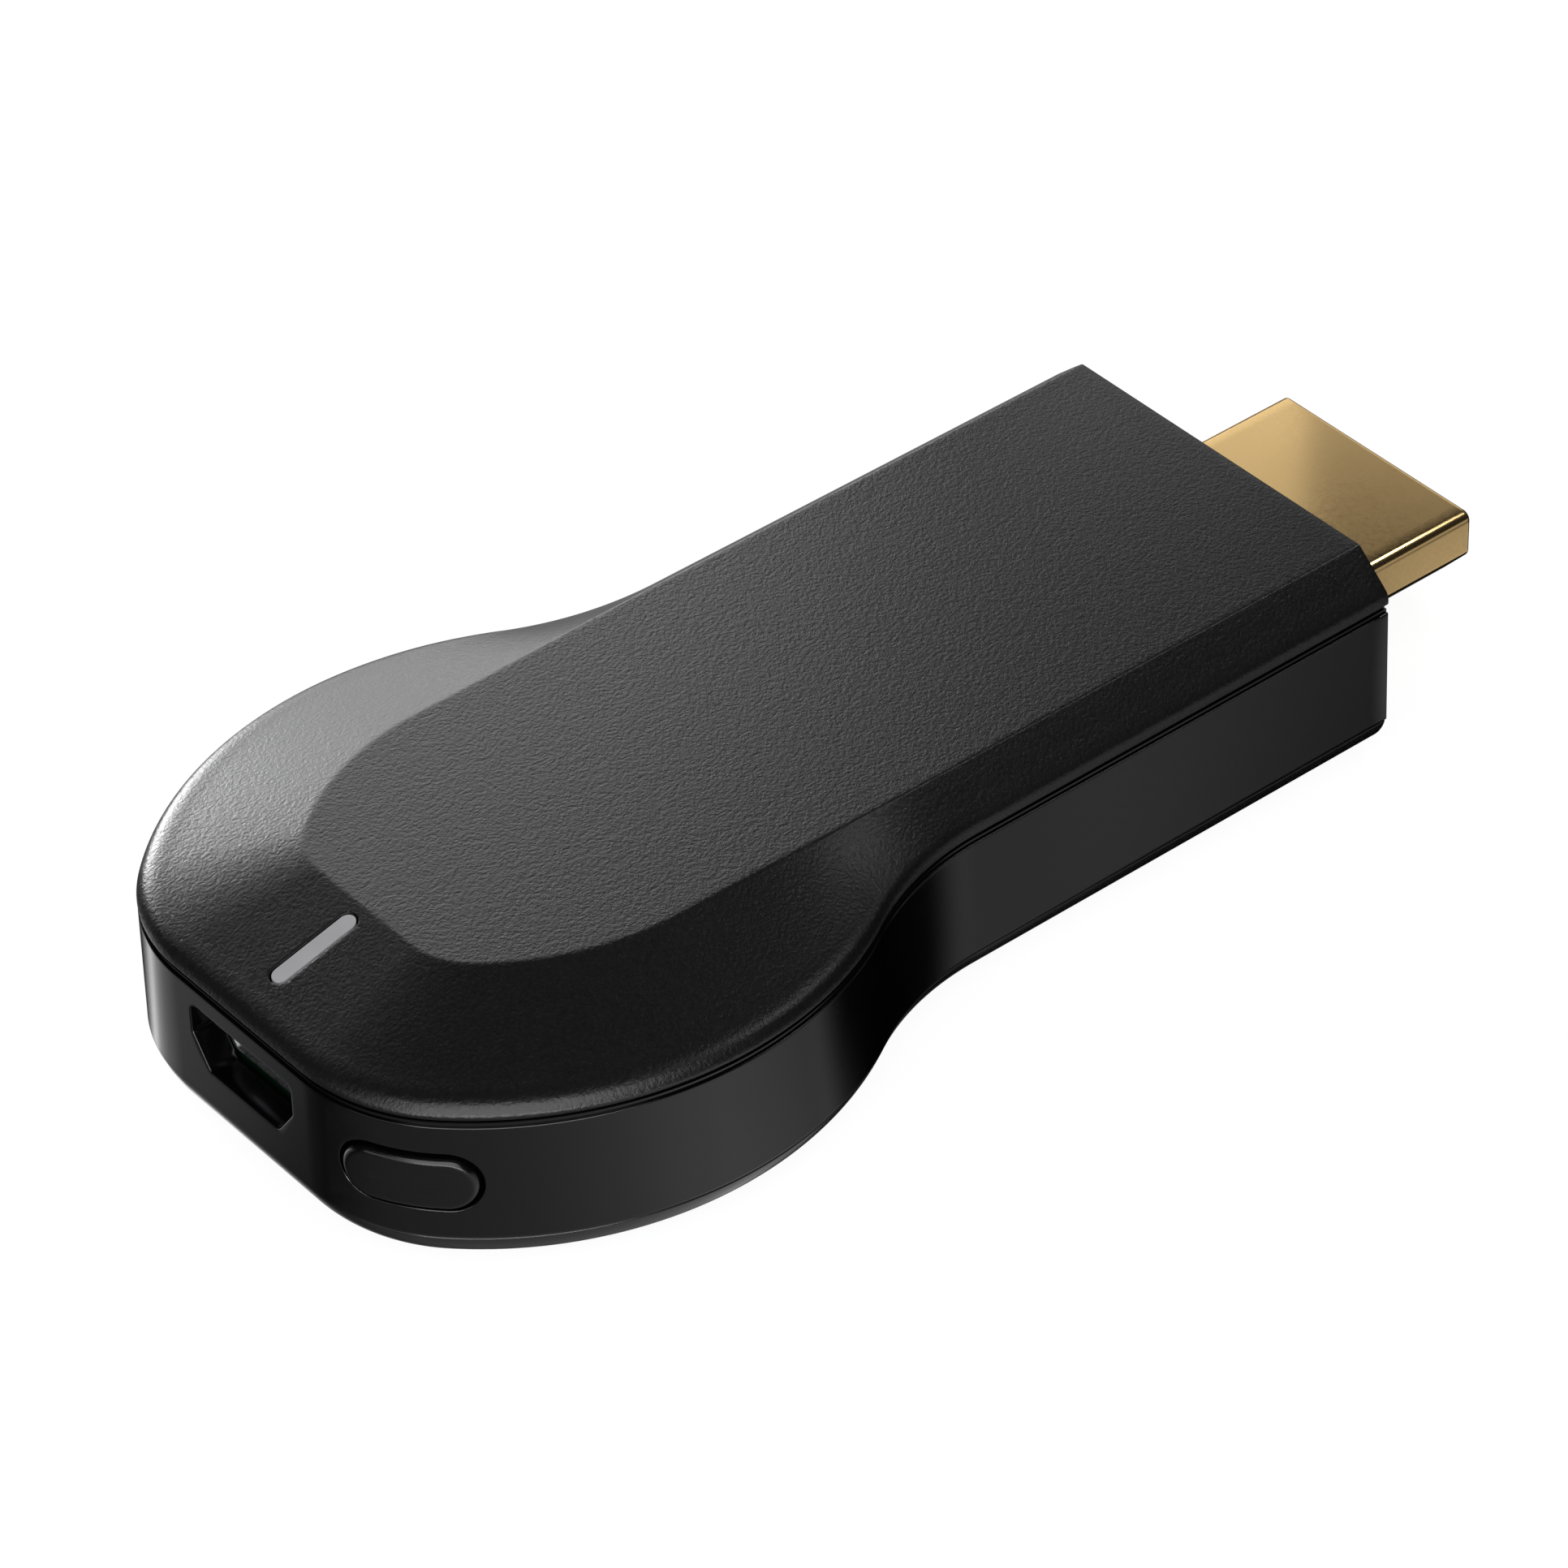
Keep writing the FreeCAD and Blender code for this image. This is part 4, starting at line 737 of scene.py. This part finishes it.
def button():
    """Button cap: rows of pills that follow the wall, rounded over at the edge, with a flange behind."""
    skin = Skin()
    length = POCKET_LENGTH - 2 * CAP_GAP
    height = POCKET_HEIGHT - 2 * CAP_GAP
    insets = (height / 2 - 0.001, *CAP_RINGS, CAP_ROUND + 0.04)
    rows = [(inset, CAP_PROUD) for inset in insets]
    rows += [(CAP_ROUND * (1 - out), CAP_PROUD - CAP_ROUND * down) for out, down in rounding(6)]
    flange = WALL + FLANGE_GAP
    rows += [(0.0, -0.5), (0.0, -flange), (-FLANGE_MARGIN, -flange),
             (-FLANGE_MARGIN, -flange - FLANGE_DEPTH)]
    points = []
    for inset, out in rows:
        place = pill_loop(length - 2 * inset, height - 2 * inset) + (0.0, BUTTON_Z)
        points.append(BUTTON_WALL.at(place, -out))
    skin.grid(points, closed=True)
    skin.fill(points[0])
    skin.fill(points[-1])
    return skin.finish("button_face", "button")


def plug():
    """Plug skin: a rounded D-section carried along X, rolled at the mouth, open at the back."""
    skin = Skin()
    roll = PLUG_SKIN / 2
    turn = np.linspace(0, math.pi, 9)
    profile = [(0.0, PLUG_BACK_X), (0.0, TAIL_X), (0.0, TIP_X - PLUG_BELT), (0.0, TIP_X - roll - 0.1)]
    profile += [(-roll * (1 - math.cos(a)), TIP_X - roll * (1 - math.sin(a))) for a in turn]
    profile += [(-PLUG_SKIN, TIP_X - PLUG_BELT), (-PLUG_SKIN, PLUG_BACK_X)]
    rows = []
    for grow, x in profile:
        corners = d_corners(PLUG_HALF, PLUG_HEIGHT, PLUG_SIDE, PLUG_FOOT_HALF, grow)
        loop = rounded_loop(corners, PLUG_CORNER + grow) + (0.0, PLUG_Z)
        rows.append(np.column_stack([np.full(len(loop), x), loop]))
    rows.append(rows[0])
    skin.grid(rows, closed=True)
    return skin.finish("plug_skin", "root")


STAGE_REACH = 3.0            # from the middle of the floor to its sides, in metres


def level_sheet(name, z):
    """A large level square at a height in metres, part of the stage."""
    mesh = bpy.data.meshes.new(name)
    corners = ((-1, -1), (1, -1), (1, 1), (-1, 1))
    mesh.from_pydata([(x * STAGE_REACH, y * STAGE_REACH, z) for x, y in corners], [], [(0, 1, 2, 3)])
    plane = bpy.data.objects.new(name, mesh)
    bpy.context.scene.collection.objects.link(plane)
    return plane


def new_material(name):
    """Empty material with a Principled shader, and its node tree."""
    material = bpy.data.materials.new(name)
    material.use_nodes = True
    tree = material.node_tree
    shader = tree.nodes["Principled BSDF"]
    return material, tree, shader


def grain_group():
    """Fine moulded grain: noise on two scales, as a height and as a mask."""
    group = bpy.data.node_groups.new("moulded grain", "ShaderNodeTree")
    face = group.interface
    face.new_socket("Fine", in_out="INPUT", socket_type="NodeSocketFloat").default_value = 4000
    face.new_socket("Coarse", in_out="INPUT", socket_type="NodeSocketFloat").default_value = 900
    face.new_socket("Height", in_out="OUTPUT", socket_type="NodeSocketFloat")
    face.new_socket("Mask", in_out="OUTPUT", socket_type="NodeSocketFloat")
    nodes, links = group.nodes, group.links
    given = nodes.new("NodeGroupInput")
    result = nodes.new("NodeGroupOutput")
    place = nodes.new("ShaderNodeTexCoord")
    fine = nodes.new("ShaderNodeTexNoise")
    fine.inputs["Detail"].default_value = 3.0
    fine.inputs["Roughness"].default_value = 0.6
    coarse = nodes.new("ShaderNodeTexNoise")
    coarse.inputs["Detail"].default_value = 2.0
    links.new(place.outputs["Object"], fine.inputs["Vector"])
    links.new(place.outputs["Object"], coarse.inputs["Vector"])
    links.new(given.outputs["Fine"], fine.inputs["Scale"])
    links.new(given.outputs["Coarse"], coarse.inputs["Scale"])
    links.new(fine.outputs["Fac"], result.inputs["Height"])
    links.new(coarse.outputs["Fac"], result.inputs["Mask"])
    return group


def ramp(tree, source, low, high, first, last):
    """Map a value between low and high to first and last."""
    node = tree.nodes.new("ShaderNodeMapRange")
    node.inputs["From Min"].default_value = low
    node.inputs["From Max"].default_value = high
    node.inputs["To Min"].default_value = first
    node.inputs["To Max"].default_value = last
    tree.links.new(source, node.inputs["Value"])
    return node.outputs["Result"]


def tint(tree, source, first, last):
    """Blend two colours by a value."""
    node = tree.nodes.new("ShaderNodeMix")
    node.data_type = "RGBA"
    node.inputs["A"].default_value = (*first, 1)
    node.inputs["B"].default_value = (*last, 1)
    tree.links.new(source, node.inputs["Factor"])
    return node.outputs["Result"]


GRAIN = grain_group()


def moulded(name, dark, light, rough, fine, coarse, bump, metallic=0.0):
    """Finish with grain: two close colours, a roughness range and a bump height in millimetres."""
    material, tree, shader = new_material(name)
    grain = tree.nodes.new("ShaderNodeGroup")
    grain.node_tree = GRAIN
    grain.inputs["Fine"].default_value = fine
    grain.inputs["Coarse"].default_value = coarse
    tree.links.new(tint(tree, grain.outputs["Mask"], dark, light), shader.inputs["Base Color"])
    tree.links.new(ramp(tree, grain.outputs["Height"], 0.3, 0.7, *rough), shader.inputs["Roughness"])
    relief = tree.nodes.new("ShaderNodeBump")
    relief.inputs["Strength"].default_value = 1.0
    relief.inputs["Distance"].default_value = bump * MM
    tree.links.new(grain.outputs["Height"], relief.inputs["Height"])
    tree.links.new(relief.outputs["Normal"], shader.inputs["Normal"])
    shader.inputs["Metallic"].default_value = metallic
    return material


def grey(value):
    return (value, value, value * 1.04)


def materials():
    """Every finish of the stick, by the record's slot."""
    return {
        "cover_matte": moulded("grained cover", grey(0.003), grey(0.005), (0.28, 0.36), 5200, 800,
                               0.029),
        "band_satin": moulded("smooth band", grey(0.0008), grey(0.0014), (0.12, 0.2), 9000, 400,
                              0.0006),
        "base_satin": moulded("smooth base", grey(0.006), grey(0.009), (0.16, 0.26), 9000, 400,
                              0.0008),
        "light_guide": moulded("cloudy light guide", grey(0.33), grey(0.37), (0.35, 0.45), 3000,
                               500, 0.001),
        "button_satin": moulded("smooth button", grey(0.0008), grey(0.0014), (0.18, 0.28), 9000,
                                400, 0.0008),
        "gold_plate": moulded("gold plate", (0.88, 0.6, 0.26), (0.92, 0.64, 0.29), (0.17, 0.23),
                              6000, 300, 0.0004, 1.0),
        "contact_gold": moulded("gold contacts", (0.8, 0.55, 0.22), (0.85, 0.6, 0.26), (0.2, 0.3),
                                8000, 900, 0.0004, 1.0),
        "black_plastic": moulded("black plastic", grey(0.01), grey(0.016), (0.4, 0.55), 5000, 900,
                                 0.002),
        "socket_steel": moulded("tinned sheet", grey(0.5), grey(0.6), (0.25, 0.4), 5000, 900, 0.001,
                                1.0),
        # Solder mask darker than its own dark green: painted shade for the inside of the power socket's
        # mouth
        "board_green": moulded("solder mask darkened as painted shade", (0.002, 0.012, 0.006), (0.004, 0.02, 0.009),
                               (0.3, 0.42), 2600, 500, 0.003),
        "screw_steel": moulded("zinc screw", grey(0.42), grey(0.52), (0.28, 0.4), 5000, 900, 0.001,
                               1.0),
        "plunger_plastic": moulded("white plunger", grey(0.66), grey(0.72), (0.4, 0.5), 5000, 900,
                                   0.001),
        "lamp_resin": moulded("lamp resin", (0.7, 0.7, 0.62), (0.78, 0.78, 0.7), (0.15, 0.22), 5000,
                              900, 0.0005),
        "chip_resin": moulded("chip resin", grey(0.014), grey(0.022), (0.5, 0.65), 6000, 1200,
                              0.003),
        "pad_silicone": moulded("soft pad", (0.36, 0.42, 0.5), (0.42, 0.48, 0.56), (0.6, 0.75),
                                3500, 600, 0.004),
        "sink_aluminium": moulded("extruded aluminium", grey(0.55), grey(0.65), (0.3, 0.45), 5000,
                                  800, 0.0015, 1.0),
        "ferrite": moulded("moulded powder", grey(0.06), grey(0.09), (0.5, 0.65), 4500, 900, 0.003),
        "capacitor_ceramic": moulded("fired ceramic", (0.26, 0.17, 0.1), (0.34, 0.23, 0.14),
                                     (0.35, 0.5), 4500, 900, 0.001),
    }


# What glossy surfaces see below the stick: a card under the floor, whose brightness runs round its
# middle in degrees from -Y towards +X, with a soft dark patch and a soft bright one on it
CARD_DEPTH = 40.0
CARD_RUN = (
    (-180, 0.2), (-164, 0.0), (-156, 0.5), (-150, 2.0), (-145, 0.9), (-138, 0.5), (-134, 0.45),
    (-127, 0.28), (-120, 0.06), (-110, 0.03), (-98, 0.1), (-84, 0.2), (-62, 0.27), (-47, 0.34),
    (-36, 0.44), (-25, 0.55), (-12, 0.72), (3, 0.75), (13, 0.62), (22, 0.5), (33, 0.35),
    (38, 0.44), (42, 0.38), (46, 0.26), (50, 0.15), (57, 0.05), (64, 0.0), (105, 0.0), (130, 0.3),
    (180, 0.2),
)
CARD_SHADE = ((50.0, -30.0), 6.0, 27.0)           # place, dark within, gone past
CARD_PATCH = ((78.0, -40.0), 5.0, 19.0, 0.6)      # place, full within, gone past, brightness


FLOOR_SEEN = grey(0.12)      # the floor's own colour to the camera, which carries the shadow
FLOOR_LIGHT = grey(0.8)      # its colour to the light that it throws back
FLOOR_GLOW = 0.93            # added to the camera's view of it, up to white


def stage_material():
    """Pale floor: white to the camera, with a faint shadow; reflections pass through it to the card."""
    material, tree, shader = new_material("pale floor")
    links = tree.links
    path = tree.nodes.new("ShaderNodeLightPath")
    camera_ray = path.outputs["Is Camera Ray"]
    links.new(tint(tree, camera_ray, FLOOR_LIGHT, FLOOR_SEEN), shader.inputs["Base Color"])
    shader.inputs["Roughness"].default_value = 0.9
    shader.inputs["Specular IOR Level"].default_value = 0.0
    glow = tree.nodes.new("ShaderNodeEmission")
    seen = plain_math(tree, "MULTIPLY", camera_ray, FLOOR_GLOW)
    strength = plain_math(tree, "ADD", seen, path.outputs["Is Transmission Ray"])
    links.new(strength, glow.inputs["Strength"])
    both = tree.nodes.new("ShaderNodeAddShader")
    links.new(shader.outputs[0], both.inputs[0])
    links.new(glow.outputs[0], both.inputs[1])
    open_air = tree.nodes.new("ShaderNodeBsdfTransparent")
    choice = tree.nodes.new("ShaderNodeMixShader")
    links.new(path.outputs["Is Glossy Ray"], choice.inputs[0])
    links.new(both.outputs[0], choice.inputs[1])
    links.new(open_air.outputs[0], choice.inputs[2])
    links.new(choice.outputs[0], tree.nodes["Material Output"].inputs["Surface"])
    return material


def card_material():
    """Reflection card: bright by the angle round its middle, with a dark patch and a bright one."""
    material, tree, shader = new_material("reflection card")
    place = tree.nodes.new("ShaderNodeTexCoord").outputs["Object"]
    lit = plain_math(tree, "MULTIPLY", run_of_stops(tree, place), away_from(tree, place, *CARD_SHADE))
    centre, core, reach, brightness = CARD_PATCH
    patch = plain_math(tree, "SUBTRACT", 1.0, away_from(tree, place, centre, core, reach))
    lit = plain_math(tree, "ADD", lit, plain_math(tree, "MULTIPLY", patch, brightness))
    glossy_ray = tree.nodes.new("ShaderNodeLightPath").outputs["Is Glossy Ray"]
    glow = tree.nodes.new("ShaderNodeEmission")
    tree.links.new(plain_math(tree, "MULTIPLY", glossy_ray, lit), glow.inputs["Strength"])
    tree.links.new(glow.outputs[0], tree.nodes["Material Output"].inputs["Surface"])
    tree.nodes.remove(shader)
    return material


def away_from(tree, place, centre, core, reach):
    """0 within the core radius of a place on the card, rising smoothly to 1 at the reach."""
    away = tree.nodes.new("ShaderNodeVectorMath")
    away.operation = "DISTANCE"
    away.inputs[1].default_value = (centre[0] * MM, centre[1] * MM, -CARD_DEPTH * MM)
    tree.links.new(place, away.inputs[0])
    rise = ramp(tree, away.outputs["Value"], core * MM, reach * MM, 0, 1)
    rise.node.interpolation_type = "SMOOTHSTEP"
    return rise


def run_of_stops(tree, place):
    """Brightness read from the card's stops by the angle from -Y towards +X."""
    axes = tree.nodes.new("ShaderNodeSeparateXYZ")
    tree.links.new(place, axes.inputs[0])
    towards_viewer = plain_math(tree, "MULTIPLY", axes.outputs["Y"], -1.0)
    angle = plain_math(tree, "ARCTAN2", axes.outputs["X"], towards_viewer)
    stops = tree.nodes.new("ShaderNodeValToRGB")
    tree.links.new(ramp(tree, angle, -math.pi, math.pi, 0, 1), stops.inputs["Fac"])
    elements = stops.color_ramp.elements
    while len(elements) < len(CARD_RUN):
        elements.new(0.5)
    for element, (degrees, bright) in zip(elements, CARD_RUN):
        element.position = (degrees + 180) / 360
        element.color = (bright, bright, bright, 1)
    return stops.outputs["Color"]


def plain_math(tree, operation, *values):
    """One Math node on values or sockets."""
    node = tree.nodes.new("ShaderNodeMath")
    node.operation = operation
    for k, value in enumerate(values):
        if isinstance(value, float):
            node.inputs[k].default_value = value
        else:
            tree.links.new(value, node.inputs[k])
    return node.outputs[0]


def world():
    """Dim studio air, white only where the camera looks past the floor."""
    made = bpy.data.worlds.new("studio")
    made.use_nodes = True
    tree = made.node_tree
    back = tree.nodes["Background"]
    path = tree.nodes.new("ShaderNodeLightPath")
    colour = tree.nodes.new("ShaderNodeMix")
    colour.data_type = "RGBA"
    colour.inputs["A"].default_value = (0.016, 0.016, 0.0165, 1)
    colour.inputs["B"].default_value = (1, 1, 1, 1)
    tree.links.new(path.outputs["Is Camera Ray"], colour.inputs["Factor"])
    tree.links.new(colour.outputs["Result"], back.inputs["Color"])
    bpy.context.scene.world = made


def softbox(name, turn, height, distance, spread, brightness, facing=(0.0, 0.0, 0.0)):
    """Soft box of an even brightness, where 1 is white paper, that faces a place in millimetres.

    It stands at a turn from +Y towards +X and a height above the level, both in degrees, and its width
    and height are the spreads that it fills from that place, in degrees too.
    """
    turn, height = math.radians(turn), math.radians(height)
    level = math.cos(height)
    toward = Vector((math.sin(turn) * level, math.cos(turn) * level, math.sin(height)))
    width = distance * math.radians(spread[0]) * level
    tall = distance * math.radians(spread[1])
    data = bpy.data.lights.new(name, "AREA")
    data.shape = "RECTANGLE"
    data.size = width
    data.size_y = tall
    data.energy = brightness * math.pi * width * tall
    lamp = bpy.data.objects.new(name, data)
    lamp.location = Vector(facing) * MM + toward * distance
    lamp.rotation_mode = "QUATERNION"
    lamp.rotation_quaternion = toward.to_track_quat("Z", "Y")
    lamp.visible_camera = False
    bpy.context.scene.collection.objects.link(lamp)


def lamps():
    """Soft boxes: a bright low one behind, cards beside and over it, a broad dim one in front, a strip
    for the cover's rim, a card for the hollow of the waist, and two small ones close to the plug."""
    softbox("back box", 0, 13, 0.18, (15, 20), 21.5)
    softbox("upper card", 22.5, 33, 0.18, (30, 20), 3.3)
    softbox("lower card", 22.5, 13, 0.18, (30, 20), 3.0)
    softbox("end card", 52.5, 23, 0.18, (30, 20), 0.62)
    softbox("front box", 220, 42, 0.5, (80, 50), 2.9)
    softbox("side card", 260, 20, 0.35, (40, 20), 1.35)
    softbox("rim strip", 222, 6, 0.5, (56, 8), 11.0)
    softbox("waist card", 110, 57, 0.5, (22, 10), 5.6)
    softbox("plug card", 44, 37, 0.025, (46, 43), 0.38, (26.6, 7.0, 6.6))
    softbox("edge card", 95, 59, 0.03, (30, 9), 9.0, (31.0, -6.5, 6.4))


# The photograph's view, fitted to the stick's outline: angles in degrees, lengths in millimetres
VIEW_TURN = 38.139
VIEW_HEIGHT = 38.960
VIEW_ROLL = -2.217
VIEW_DISTANCE = 331.371
AIM_RIGHT = 1.891
AIM_UP = 1.965
AIM_POINT = (HEAD_X + 35.0, 0.0, 7.125)
LENS = 156.237


def camera():
    """Camera turned and raised by the fitted angles, rolled a little, aimed beside the aim point."""
    turn, height, roll = (math.radians(a) for a in (VIEW_TURN, VIEW_HEIGHT, VIEW_ROLL))
    right = Vector((math.cos(turn), -math.sin(turn), 0))
    level = math.cos(height)
    ahead = Vector((math.sin(turn) * level, math.cos(turn) * level, -math.sin(height)))
    up = right.cross(ahead)
    x_axis = right * math.cos(roll) + up * math.sin(roll)
    y_axis = up * math.cos(roll) - right * math.sin(roll)
    place = Vector(AIM_POINT) - x_axis * AIM_RIGHT - y_axis * AIM_UP - ahead * VIEW_DISTANCE
    data = bpy.data.cameras.new("view")
    data.lens = LENS
    data.sensor_width = 36.0
    data.clip_start = 0.01
    data.clip_end = 20.0
    view = bpy.data.objects.new("view", data)
    turned = Matrix((x_axis, y_axis, -ahead)).transposed().to_4x4()
    view.matrix_world = Matrix.Translation(place * MM) @ turned
    bpy.context.scene.collection.objects.link(view)
    bpy.context.scene.camera = view


def dress():
    """Make the new pieces, and give every piece and node its finish."""
    finishes = materials()
    pieces = (
        (cover(), "top_cover", "cover_matte"),
        (band(), "side_frame", "band_satin"),
        (base(), "bottom_cover", "base_satin"),
        (button(), "button_cap", "button_satin"),
        (plug(), "plug_shell", "gold_plate"),
    )
    for piece, node, slot_name in pieces:
        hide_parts(node)
        piece.data.materials.append(finishes[slot_name])
    slots = {part["node"]: part["material_slot"] for part in frame["record"]["subparts"]}
    for node, thing in frame["nodes"].items():
        thing.data.materials.clear()
        thing.data.materials.append(finishes[slots[node]])


dress()
level_sheet("floor", 0.0).data.materials.append(stage_material())
level_sheet("reflection_card", -CARD_DEPTH * MM).data.materials.append(card_material())
world()
lamps()
camera()
scene = bpy.context.scene
scene.view_settings.view_transform = "Standard"
